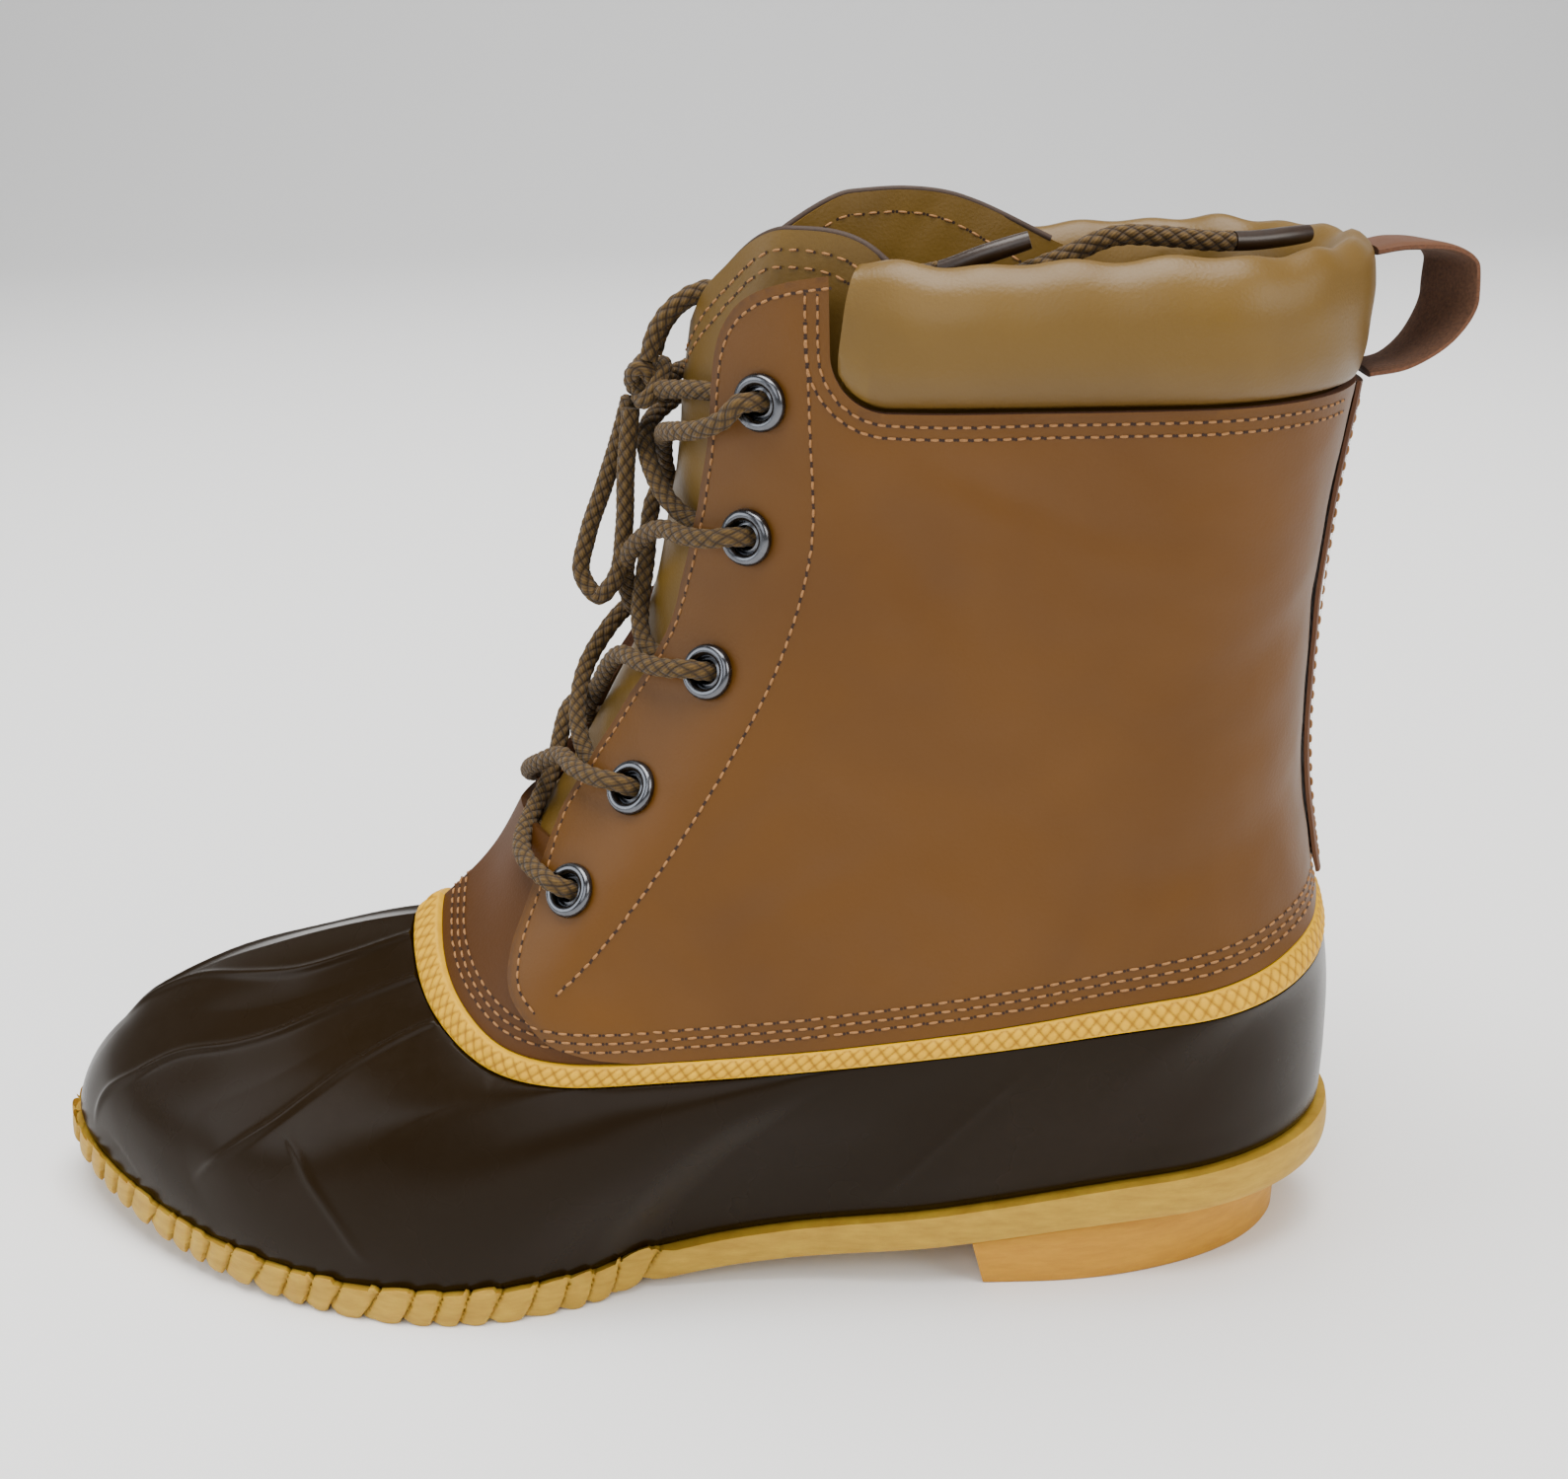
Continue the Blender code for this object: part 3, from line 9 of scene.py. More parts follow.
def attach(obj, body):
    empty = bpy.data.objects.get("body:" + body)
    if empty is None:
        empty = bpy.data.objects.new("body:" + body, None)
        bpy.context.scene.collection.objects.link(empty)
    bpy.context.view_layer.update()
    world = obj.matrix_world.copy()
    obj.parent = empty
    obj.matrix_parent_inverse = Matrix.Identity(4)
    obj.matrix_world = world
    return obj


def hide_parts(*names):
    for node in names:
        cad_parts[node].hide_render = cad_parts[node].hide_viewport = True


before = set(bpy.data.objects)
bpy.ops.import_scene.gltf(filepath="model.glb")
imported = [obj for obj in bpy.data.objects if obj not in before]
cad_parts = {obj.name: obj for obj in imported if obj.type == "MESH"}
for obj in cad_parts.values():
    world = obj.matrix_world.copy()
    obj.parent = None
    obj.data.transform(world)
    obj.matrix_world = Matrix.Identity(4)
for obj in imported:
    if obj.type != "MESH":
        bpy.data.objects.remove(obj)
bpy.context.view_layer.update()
print("frame loaded:", len(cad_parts), "nodes")

gap = 0.0003


# Camera at the photograph's angle, from a fit of the boot's outline to the picture
view = dict(place=(0.07348, 0.43833, 0.26849), yaw=-0.0104, pitch=0.3369, roll=-0.0267, lens=48.654)


# Puts data in the scene as an object whose z axis points along back, turned about it by roll.
def aimed(name, data, place, back, roll=0.0):
    back = np.array(back) / np.linalg.norm(back)
    right = np.cross([0, 0, 1.0], back)
    right /= np.linalg.norm(right)
    up = np.cross(back, right)
    c, s = math.cos(roll), math.sin(roll)
    turn = Matrix(np.array([right * c + up * s, up * c - right * s, back]).T.tolist()).to_4x4()
    turn.translation = place
    ob = bpy.data.objects.new(name, data)
    ob.matrix_world = turn
    bpy.context.scene.collection.objects.link(ob)
    return ob


# The camera's own z axis points back from what it sees, and is worked out from yaw and pitch.
def placeCamera(k):
    cp = math.cos(k["pitch"])
    back = (math.sin(k["yaw"]) * cp, math.cos(k["yaw"]) * cp, math.sin(k["pitch"]))
    data = bpy.data.cameras.new("camera")
    data.lens = k["lens"]
    data.sensor_width = 36
    data.clip_start = 0.01
    bpy.context.scene.camera = aimed("camera", data, k["place"], back, k["roll"])


placeCamera(view)


# The boot's form, worked out as in the part's source, on a finer net
last = dict(length=0.300, ball=0.104, back=-0.045, heel=0.0200, spring=0.0105, edge=0.0066, edgeHeel=0.0090,
            heelRound=0.044, toeRound=0.095, swing=0.024, rimBack=0.0735, shaft=0.222, rimFront=0.1635,
            ankle=0.083,
            rimBackInset=0.0045, rimSwing=-0.006, rimOuter=0.455, rimInner=0.445, rimBackRound=0.037,
            rimFrontRound=0.042, sideSwell=0.0030, backSwell=0.0012, toeDip=0.090, sideArch=0.30, welt=0.0026)
columns, lowerSteps, shaftSteps = 960, 120, 36

solePlan = np.array([  # along, outer, inner: half widths as shares of the ball width
    (0.00, 0.365, 0.350), (0.18, 0.380, 0.362), (0.30, 0.380, 0.345), (0.42, 0.352, 0.300),
    (0.51, 0.360, 0.310), (0.57, 0.440, 0.372), (0.63, 0.506, 0.428), (0.69, 0.525, 0.462),
    (0.77, 0.510, 0.465), (0.86, 0.482, 0.440), (1.00, 0.390, 0.370)])
soleProfile = np.array([  # along, heel, spring, edge
    (0.00, 1.00, 0.00, 1.00), (0.13, 0.86, 0.00, 0.90), (0.28, 0.56, 0.00, 0.55), (0.38, 0.39, 0.00, 0.30),
    (0.46, 0.25, 0.00, 0.10), (0.52, 0.09, 0.00, 0.00), (0.57, 0.00, 0.00, 0.00), (0.73, 0.00, 0.00, 0.00),
    (0.83, 0.00, 0.17, 0.00), (0.92, 0.00, 0.52, 0.00), (1.00, 0.00, 1.00, 0.00)])
rimLine = np.array([  # round, height as a share of the back height
    (0.00, 1.000), (0.18, 0.945), (0.29, 0.895), (0.41, 0.832), (0.535, 0.782), (0.66, 0.745),
    (0.745, 0.728), (0.81, 0.740), (0.87, 0.800), (0.93, 0.880), (0.965, 0.945), (1.00, 0.985)])
shaftSections = [  # back, front, front y, outer, inner, back round, front round, heights at back, side, front
    (-0.123, 0.487, -0.020, 0.540, 0.530, 0.130, 0.085, 0.124, -0.009, 0.103),
    (-0.115, 0.452, -0.024, 0.515, 0.505, 0.135, 0.105, 0.253, 0.148, 0.215),
    (-0.114, 0.418, -0.027, 0.495, 0.490, 0.135, 0.150, 0.372, 0.290, 0.327),
    (-0.117, 0.378, -0.027, 0.490, 0.485, 0.135, 0.200, 0.507, 0.462, 0.484),
    (-0.125, 0.356, -0.027, 0.495, 0.490, 0.135, 0.215, 0.664, 0.641, 0.664),
    (-0.137, 0.344, -0.024, 0.505, 0.500, 0.135, 0.215, 0.828, 0.828, 0.836),
    (-0.145, 0.330, -0.020, 0.510, 0.500, 0.135, 0.210, 1.000, 1.000, 1.000),
    (-0.147, 0.320, -0.018, 0.510, 0.500, 0.135, 0.210, 1.090, 1.090, 1.090)]


# A cubic from a to b over t from 0 to 1, leaving and arriving with the given slopes
def hermite(t, a, slopeA, b, slopeB):
    return ((2 * t**3 - 3 * t**2 + 1) * a + (t**3 - 2 * t**2 + t) * slopeA
            + (3 * t**2 - 2 * t**3) * b + (t**3 - t**2) * slopeB)


# Length run along a line at each of its points
def runOf(points):
    return np.concatenate([[0], np.cumsum(np.linalg.norm(np.diff(points, axis=0), axis=1))])


# Vectors brought to length one
def unit(v):
    return v / np.maximum(np.linalg.norm(v, axis=-1, keepdims=True), 1e-12)


# A line's values at the given runs, each of its columns read between its points
def readAt(at, run, values):
    return np.stack([np.interp(at, run, values[:, k]) for k in range(values.shape[1])], 1)


# A smooth curve through a table's points; its slopes are limited, so it never overshoots.
def smoothThrough(x, table, name=1):
    xs, ys = table[:, 0], table[:, name]
    rise = np.diff(ys) / np.diff(xs)
    slope = np.zeros(len(xs))
    slope[1:-1] = 0.5 * (rise[:-1] + rise[1:])
    slope[0], slope[-1] = rise[0], rise[-1]
    slope[1:-1][rise[:-1] * rise[1:] <= 0] = 0
    low = 3 * np.minimum(np.abs(rise[:-1]), np.abs(rise[1:]))
    slope[1:-1] = np.clip(slope[1:-1], -low, low)
    x = np.clip(x, xs[0], xs[-1])
    k = np.clip(np.searchsorted(xs, x, side="right") - 1, 0, len(xs) - 2)
    h = xs[k + 1] - xs[k]
    t = (x - xs[k]) / h
    return hermite(t, ys[k], h * slope[k], ys[k + 1], h * slope[k + 1])


# Smooth step: 0 at low, 1 at high, flat at both ends.
def ease(x, low, high):
    t = np.clip((x - low) / (high - low), 0, 1)
    return t * t * (3 - 2 * t)


# A quarter of an ellipse: 0 at an end, 1 from reach on.
def quarterRound(distance, reach):
    t = 1 - np.clip(distance / reach, 0, 1)
    return np.sqrt(np.maximum(0, 1 - t * t))


# The sole's middle line: straight behind, then a power curve towards the inner side at the toe.
def soleSwing(x):
    return -last["swing"] * np.clip(((x - last["back"]) / last["length"] - 0.5) / 0.5, 0, 1) ** 1.6


# y of the sole's edge: middle line plus half width times the rounding at both ends.
def soleEdge(x, side, inset=0.0):
    s = (x - last["back"]) / last["length"]
    half = last["ball"] * smoothThrough(s, solePlan, 1 if side > 0 else 2) - inset
    back = quarterRound(x - last["back"] - inset, last["heelRound"] - inset)
    front = quarterRound(last["back"] + last["length"] - inset - x, last["toeRound"] - inset)
    return soleSwing(x) + side * half * back * front


# Height of the sole's underside: heel lift plus toe spring, each a share of the profile.
def soleLow(x):
    s = (x - last["back"]) / last["length"]
    return last["heel"] * smoothThrough(s, soleProfile, 1) + last["spring"] * smoothThrough(s, soleProfile, 2)


# Height of the sole's upper edge: the underside plus an edge that is thicker at the heel.
def soleTop(x):
    s = (x - last["back"]) / last["length"]
    return soleLow(x) + last["edge"] + (last["edgeHeel"] - last["edge"]) * smoothThrough(s, soleProfile, 3)


# Points at the given shares of a line's length in plan.
def evenly(points, shares):
    run = runOf(points[:, :2])
    return readAt(shares, run / run[-1], points)


# Both halves of a loop joined into one, the second run backwards
def bothSides(first, second):
    return np.concatenate([first, second[::-1][1:]])


# Shares from 0 to 1 that crowd towards both ends: half of one minus a cosine.
def crowded(count):
    return (1 - np.cos(np.linspace(0, math.pi, count))) / 2


# Half a loop each side: half width times the rounding at both ends, read at the given shares.
def ovalLoop(shares, back, front, frontY, outer, inner, backRound, frontRound, heights):
    s = crowded(1200)
    x = back + (front - back) * s
    closing = quarterRound(x - back, backRound) * quarterRound(front - x, frontRound)
    halves = []
    for side, half in ((1, outer), (-1, inner)):
        line = evenly(np.stack([x, frontY * s**2 + side * half * closing, x * 0], 1), shares)
        line[:, 2] = heights
        halves.append(line)
    return bothSides(*halves)


# Rows of loops: the lower arches from the sole's edge to its rim, the shaft is a smooth loft through
# sections.
def buildForm():
    p = last
    g = np.linspace(0, 1, columns // 2 + 1)
    x = p["back"] + p["welt"] + (p["length"] - 2 * p["welt"]) * crowded(1200)
    z = soleTop(x) + gap
    sides = [evenly(np.stack([x, soleEdge(x, side, p["welt"]), z], 1), g) for side in (1, -1)]
    feather = bothSides(*sides)
    rim = ovalLoop(g, p["back"] + p["rimBackInset"], p["rimFront"], p["rimSwing"], p["rimOuter"] * p["ball"],
                   p["rimInner"] * p["ball"], p["rimBackRound"], p["rimFrontRound"],
                   p["rimBack"] * smoothThrough(g, rimLine))
    loops = [rim]
    for back, front, frontY, outer, inner, backRound, frontRound, zBack, zSide, zFront in shaftSections:
        share = zBack + (zFront - zBack) * g + (zSide - 0.5 * (zBack + zFront)) * 4 * g * (1 - g)
        loops.append(ovalLoop(g, back * p["length"], front * p["length"], frontY * p["length"],
                              outer * p["ankle"], inner * p["ankle"], backRound * p["length"],
                              frontRound * p["length"], p["rimBack"] + (p["shaft"] - p["rimBack"]) * share))
    g = np.concatenate([g, g[::-1][1:]])
    arch = p["sideArch"] + (1 - p["sideArch"]) * ease(g, 0.55, 0.93)
    away = -np.stack([np.gradient(feather[:, 1]), -np.gradient(feather[:, 0])], 1)
    away /= np.maximum(np.linalg.norm(away, axis=1), 1e-9)[:, None]
    behind = 1 - ease(g, 0.0, 0.15)
    swell = p["sideSwell"] * (1 - ease(g, 0.75, 0.95)) * (1 - behind) + p["backSwell"] * behind
    v = np.linspace(0, 1, lowerSteps + 1)[:, None]
    turn = v * math.pi / 2
    level = (1 - arch) * v**1.3 + arch * (1 - np.cos(turn))
    lift = (1 - arch) * v + arch * np.sin(turn) ** (1 + 0.14 * arch)
    lift = lift - p["toeDip"] * ease(g, 0.70, 0.95) * np.sin(math.pi * v**1.5)
    flat = feather[:, :2] + (rim - feather)[:, :2] * level[..., None]
    flat = flat + away * (swell * np.maximum(np.sin(math.pi * v), 0) ** 0.8)[..., None]
    lower = np.concatenate([flat, (feather[:, 2] + (rim - feather)[:, 2] * lift)[..., None]], 2)
    q = np.array(loops)
    slope = np.gradient(q, axis=0)
    t = (np.arange(shaftSteps) / shaftSteps)[:, None, None]
    rows = [hermite(t, q[k], slope[k], q[k + 1], slope[k + 1]) for k in range(len(q) - 1)]
    net = np.concatenate([lower] + [rows[0][1:]] + rows[1:] + [q[-1:]])
    wrapped = np.concatenate([net[:, -2:-1], net, net[:, 1:2]], 1)
    normal = unit(np.cross(np.gradient(net, axis=0), 0.5 * (wrapped[:, 2:] - wrapped[:, :-2])))
    middle = net[:, :, :2].mean(1)[:, None]
    if ((net[:, :, :2] - middle) * normal[:, :, :2]).sum() < 0:
        normal = -normal
    return net, normal


formNet, normalNet = buildForm()
climbNet = np.concatenate([np.zeros((1, columns + 1)),
                           np.cumsum(np.linalg.norm(np.diff(formNet, axis=0), axis=2), 0)])
climbNet = climbNet - climbNet[lowerSteps]
everyRow = np.arange(len(formNet))
print("form:", formNet.shape)


# The net read between its rows and columns, weighted by nearness; u runs once round the boot.
def netAt(net, u, row):
    u, row = np.broadcast_arrays(np.asarray(u, float), np.asarray(row, float))
    c = (u % 1.0) * columns
    r = np.clip(row, 0, len(net) - 1)
    ci, ri = np.minimum(c.astype(int), columns - 1), np.minimum(r.astype(int), len(net) - 2)
    a, b = c - ci, r - ri
    if net.ndim == 3:
        a, b = a[..., None], b[..., None]
    return ((1 - a) * (1 - b) * net[ri, ci] + a * (1 - b) * net[ri, ci + 1]
            + (1 - a) * b * net[ri + 1, ci] + a * b * net[ri + 1, ci + 1])


# The form's outward direction, read as the net is and brought back to length one.
def normalAt(u, row):
    return unit(netAt(normalNet, u, row))


# A place of the form, moved along its normal by offset.
def surface(u, row, offset=0.0):
    return netAt(formNet, u, row) + normalAt(u, row) * np.asarray(offset, float)[..., None]


# The row of each column where the net's value reaches the wanted one.
def rowWhere(u, wanted, net, start=0):
    u = np.atleast_1d(np.asarray(u, float))
    wanted = np.broadcast_to(wanted, u.shape)
    values = netAt(net, u[:, None], everyRow[None, start:])
    return np.array([np.interp(w, v, everyRow[start:]) for w, v in zip(wanted, values)])


# The row that lies a given way up the surface above the rim.
def rowAboveRim(u, climb):
    return rowWhere(u, climb, climbNet)


heightNet = formNet[:, :, 2]


# The row of the shaft at a given height.
def rowAtHeight(u, z):
    return rowWhere(u, z, heightNet, lowerSteps)


# The column on one side, at height z, where the form has the wanted x (axis 0) or y (axis 1).
def columnWhere(z, wanted, axis, side):
    z, wanted = np.broadcast_arrays(np.atleast_1d(np.asarray(z, float)), np.asarray(wanted, float))
    u = np.linspace(0.5, 0.02, 300) if side > 0 else np.linspace(0.5, 0.98, 300)
    table = netAt(heightNet, u[:, None], everyRow[None, lowerSteps:])
    found = []
    for height, want in zip(z, wanted):
        row = np.array([np.interp(height, line, everyRow[lowerSteps:]) for line in table])
        value = netAt(formNet, u, row)[:, axis]
        value, want = (-value, -want) if axis == 0 else (side * value, side * want)
        k = max(int(np.argmax(value >= want)), 1)
        t = (want - value[k - 1]) / (value[k] - value[k - 1])
        found.append(u[k - 1] + t * (u[k] - u[k - 1]))
    return np.array(found)


# Smooth noise from -1 to 1: sines in turned directions, with folded phases, added up.
def noise3(p, scale, seed):
    rng = np.random.default_rng(seed)
    total = np.zeros(p.shape[:-1])
    for octave in range(6):
        way = rng.normal(size=3)
        way *= 2 * math.pi / np.linalg.norm(way) / scale * rng.uniform(0.6, 1.6)
        fold = rng.normal(size=3)
        fold *= 2 * math.pi / np.linalg.norm(fold) / scale * rng.uniform(0.5, 1.2)
        total += np.sin(p @ way + 1.3 * np.sin(p @ fold + rng.uniform(0, 6)) + rng.uniform(0, 6))
    return total / 3.2


# Mesh makers
# A net of points as quads; each value is an attribute of the points, face picks a material for each quad.
def addGrid(name, points, materials, values=None, uv=None, face=None, sharp=45):
    m, n = points.shape[:2]
    i, j = np.arange(m - 1)[:, None] * n, np.arange(n - 1)[None, :]
    quads = np.stack([i + j, i + j + 1, i + n + j + 1, i + n + j], -1).reshape(-1, 4).astype(np.int32)
    mesh = bpy.data.meshes.new(name)
    mesh.vertices.add(m * n)
    mesh.vertices.foreach_set("co", np.ascontiguousarray(points, dtype=np.float32).ravel())
    mesh.loops.add(quads.size)
    mesh.loops.foreach_set("vertex_index", quads.ravel())
    mesh.polygons.add(len(quads))
    mesh.polygons.foreach_set("loop_start", np.arange(0, quads.size, 4, dtype=np.int32))
    mesh.update(calc_edges=True)
    if uv is not None:
        layer = mesh.uv_layers.new(name="UVMap")
        layer.data.foreach_set("uv", uv.reshape(-1, 2)[quads.ravel()].astype(np.float32).ravel())
    for key, value in (values or {}).items():
        attribute = mesh.attributes.new(key, "FLOAT", "POINT")
        attribute.data.foreach_set("value", np.ascontiguousarray(value, dtype=np.float32).ravel())
    for material in materials:
        mesh.materials.append(material)
    if face is not None:
        mesh.polygons.foreach_set("material_index", np.ascontiguousarray(face, dtype=np.int32).ravel())
    return finishMesh(name, mesh, sharp)


# Doubles merged, faces outwards, smooth but for edges sharper than the given angle.
def finishMesh(name, mesh, sharp=45):
    bm = bmesh.new()
    bm.from_mesh(mesh)
    bmesh.ops.remove_doubles(bm, verts=bm.verts, dist=2e-6)
    bmesh.ops.dissolve_degenerate(bm, dist=1e-7, edges=bm.edges)
    bmesh.ops.recalc_face_normals(bm, faces=bm.faces)
    bm.to_mesh(mesh)
    bm.free()
    mesh.shade_smooth()
    mesh.set_sharp_from_angle(angle=math.radians(sharp))
    ob = bpy.data.objects.new(name, mesh)
    bpy.context.scene.collection.objects.link(ob)
    return ob


# The object with its modifiers applied.
def applied(ob):
    graph = bpy.context.evaluated_depsgraph_get()
    mesh = bpy.data.meshes.new_from_object(ob.evaluated_get(graph), preserve_all_data_layers=True,
                                           depsgraph=graph)
    old = ob.data
    ob.modifiers.clear()
    ob.data = mesh
    bpy.data.meshes.remove(old)
    return ob


# The piece rides on the one body in place of its nodes; its slot is not used.
def dress(ob, slot, *nodes):
    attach(ob, "root")
    if nodes:
        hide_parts(*nodes)
    return ob


# Rows of points that go round a closed section: the first row is repeated at the end.
def closedSection(rows):
    rows = np.asarray(rows)
    return np.concatenate([rows, rows[:1]])


# The same columns with the first repeated, so that the net closes round the boot.
def roundLoop(u):
    return np.concatenate([u, u[:1] + 1])


# A smooth curve through points, slopes from each point's neighbours, read at even steps of length.
def spline(points, count, closed=False):
    p = np.asarray(points, float)
    if closed:
        p = np.concatenate([p[-1:], p, p[:2]])
    run = runOf(p)
    slope = np.gradient(p, run, axis=0)
    low, high = (run[1], run[-2]) if closed else (0, run[-1])
    fine = np.linspace(low, high, max(400, 6 * count))
    k = np.clip(np.searchsorted(run, fine, side="right") - 1, 0, len(p) - 2)
    h = (run[k + 1] - run[k])[:, None]
    t = (fine - run[k])[:, None] / h
    q = hermite(t, p[k], h * slope[k], p[k + 1], h * slope[k + 1])
    length = runOf(q)
    return readAt(np.linspace(0, length[-1], count), length, q)


# Length of a path: its steps added up.
def lineLength(path):
    return float(runOf(path)[-1])


# Two directions across a path that turn as little as possible along it.
def carried(path):
    path = np.asarray(path, float)
    run = unit(np.gradient(path, axis=0))
    side = np.cross(run[0], [0.3, 0.2, 1.0])
    sides = []
    for d in run:
        side = unit(side - d * side.dot(d))
        sides.append(side)
    sides = np.array(sides)
    return sides, np.cross(run, sides)


# Places on circles: cosine along a, sine along b
def circle(angle, a, b):
    return np.cos(angle)[:, None] * a + np.sin(angle)[:, None] * b


# A net closed at both ends: the middle of its first and last column, repeated all along them
def capped(net):
    ends = [np.repeat(net[:, j].mean(0)[None, None], len(net), 0) for j in (0, -1)]
    return np.concatenate([ends[0], net, ends[1]], 1)


# A circle carried along a path; braid raises crossing strands on it. UV: round, and along in diameters.
def tube(name, path, radius, materials, sides=16, braid=0.0, closed=False):
    a, b = carried(path)
    n = len(path)
    along = runOf(path) / (2 * np.max(radius))
    w = np.linspace(0, 1, sides + 1)
    bump = braidHeight(w[None], along[:, None]) * braid
    r = np.broadcast_to(np.asarray(radius, float), (n,))[:, None] * (1 + bump)
    angle = 2 * math.pi * w
    net = path[:, None] + r[..., None] * circle(angle, a[:, None], b[:, None])
    uv = np.stack(np.broadcast_arrays(w[None], along[:, None]), -1)
    if not closed:
        ends = [np.repeat(path[k][None, None], sides + 1, 1) for k in (0, -1)]
        net = np.concatenate([ends[0], net, ends[1]])
        uv = np.concatenate([uv[:1], uv, uv[-1:]])
    return addGrid(name, net, materials, uv=uv, sharp=60)


# Two families of strands wind both ways round: the product of their rounded waves, from -1 to 1.
def braidHeight(w, along):
    p, q = 5 * w + 1.15 * along, 5 * w - 1.15 * along
    return 2 * np.abs(np.sin(math.pi * p)) ** 0.6 * np.abs(np.sin(math.pi * q)) ** 0.6 - 1


# Shader groups and materials
# Short ways to add and join shader nodes in one tree.
class Nodes:
    def __init__(self, tree):
        self.tree = tree
        self.count = 0

    def add(self, kind, **values):
        node = self.tree.nodes.new(kind)
        node.location = (self.count % 8 * 180, -(self.count // 8) * 260)
        self.count += 1
        for key, value in values.items():
            if hasattr(node, key):
                setattr(node, key, value)
        return node

    def join(self, source, target):
        self.tree.links.new(source, target)

    def put(self, node, **inputs):
        for key, value in inputs.items():
            socket = node.inputs[key.replace("_", " ")]
            if isinstance(value, bpy.types.NodeSocket):
                self.join(value, socket)
            else:
                socket.default_value = value
        return node

    def noise(self, vector, scale, detail=3.0, rough=0.5, distortion=0.0):
        node = self.put(self.add("ShaderNodeTexNoise"), Scale=scale, Detail=detail, Roughness=rough,
                        Distortion=distortion)
        self.join(vector, node.inputs["Vector"])
        return node.outputs["Fac"]

    def cells(self, vector, scale, feature="F1"):
        node = self.add("ShaderNodeTexVoronoi", feature=feature)
        self.put(node, Scale=scale)
        self.join(vector, node.inputs["Vector"])
        return node.outputs["Distance"]

    def math(self, how, a, b=0.0):
        node = self.add("ShaderNodeMath", operation=how)
        for k, value in enumerate((a, b)):
            if isinstance(value, bpy.types.NodeSocket):
                self.join(value, node.inputs[k])
            else:
                node.inputs[k].default_value = value
        return node.outputs[0]

    def spread(self, value, low, high, to=(0.0, 1.0)):
        node = self.add("ShaderNodeMapRange")
        self.put(node, From_Min=low, From_Max=high, To_Min=to[0], To_Max=to[1])
        self.join(value, node.inputs["Value"])
        return node.outputs["Result"]

    def mix(self, share, a, b):
        node = self.add("ShaderNodeMix", data_type="RGBA")
        for socket, value in ((node.inputs[0], share), (node.inputs[6], a), (node.inputs[7], b)):
            if isinstance(value, bpy.types.NodeSocket):
                self.join(value, socket)
            elif isinstance(value, tuple):
                socket.default_value = (*value, 1.0)
            else:
                socket.default_value = value
        return node.outputs[2]

    def place(self):
        return self.add("ShaderNodeTexCoord").outputs["Object"]

    def value(self, name):
        return self.add("ShaderNodeAttribute", attribute_name=name).outputs["Fac"]


# A node group with float inputs and outputs, filled in by build(nodes, inputs).
def makeGroup(name, inputs, outputs, build):
    tree = bpy.data.node_groups.new(name, "ShaderNodeTree")
    for key, value in inputs.items():
        socket = tree.interface.new_socket(name=key, in_out="INPUT", socket_type="NodeSocketFloat")
        socket.default_value = value
    for key in outputs:
        tree.interface.new_socket(name=key, in_out="OUTPUT", socket_type="NodeSocketFloat")
    n = Nodes(tree)
    source, target = n.add("NodeGroupInput"), n.add("NodeGroupOutput")
    for key, socket in build(n, source.outputs).items():
        n.join(socket, target.inputs[key])
    return tree


# Leather grain: small cells with soft borders over fine noise; Tone is slow colour change.
def buildGrain(n, given):
    place = n.place()
    bent = n.noise(place, given["Scale"], 2.0)
    cell = n.cells(place, given["Scale"], "SMOOTH_F1")
    fine = n.noise(place, n.math("MULTIPLY", given["Scale"], 2.7), 4.0, 0.6)
    height = n.math("ADD", n.math("MULTIPLY", n.spread(cell, 0.1, 0.7), 0.5), n.math("MULTIPLY", fine, 0.5))
    tone = n.noise(place, given["Patches"], 3.0, 0.55, 0.4)
    return dict(Height=n.math("ADD", height, n.math("MULTIPLY", bent, 0.4)), Tone=n.spread(tone, 0.3, 0.7),
                Pores=n.spread(fine, 0.35, 0.75))


# Faint rubbed and dusty places: broad noise times scratchy fine noise.
def buildDust(n, given):
    place = n.place()
    broad = n.spread(n.noise(place, given["Patches"], 3.0, 0.6), 0.45, 0.75)
    fine = n.spread(n.noise(place, given["Fine"], 5.0, 0.7), 0.35, 0.8)
    return dict(Mask=n.math("MULTIPLY", broad, fine))


grainGroup = makeGroup("leatherGrain", {"Scale": 900.0, "Patches": 22.0}, ("Height", "Tone", "Pores"),
                       buildGrain)
dustGroup = makeGroup("rubbedDust", {"Patches": 20.0, "Fine": 400.0}, ("Mask",), buildDust)


# A material with its Principled shader set.
def newMaterial(name, roughness, metallic=0.0, specular=0.5, **more):
    material = bpy.data.materials.new(name)
    material.use_nodes = True
    n = Nodes(material.node_tree)
    n.count = 8
    shader = material.node_tree.nodes["Principled BSDF"]
    n.put(shader, Roughness=roughness, Metallic=metallic, Specular_IOR_Level=specular, **more)
    return material, n, shader


# A group node with its inputs set; gives its outputs.
def useGroup(n, tree, **values):
    node = n.add("ShaderNodeGroup")
    node.node_tree = tree
    n.put(node, **values)
    return node.outputs


# Bump from a height.
def bumpFrom(n, shader, height, strength, distance):
    bump = n.put(n.add("ShaderNodeBump"), Strength=strength, Distance=distance, Height=height)
    n.join(bump.outputs["Normal"], shader.inputs["Normal"])
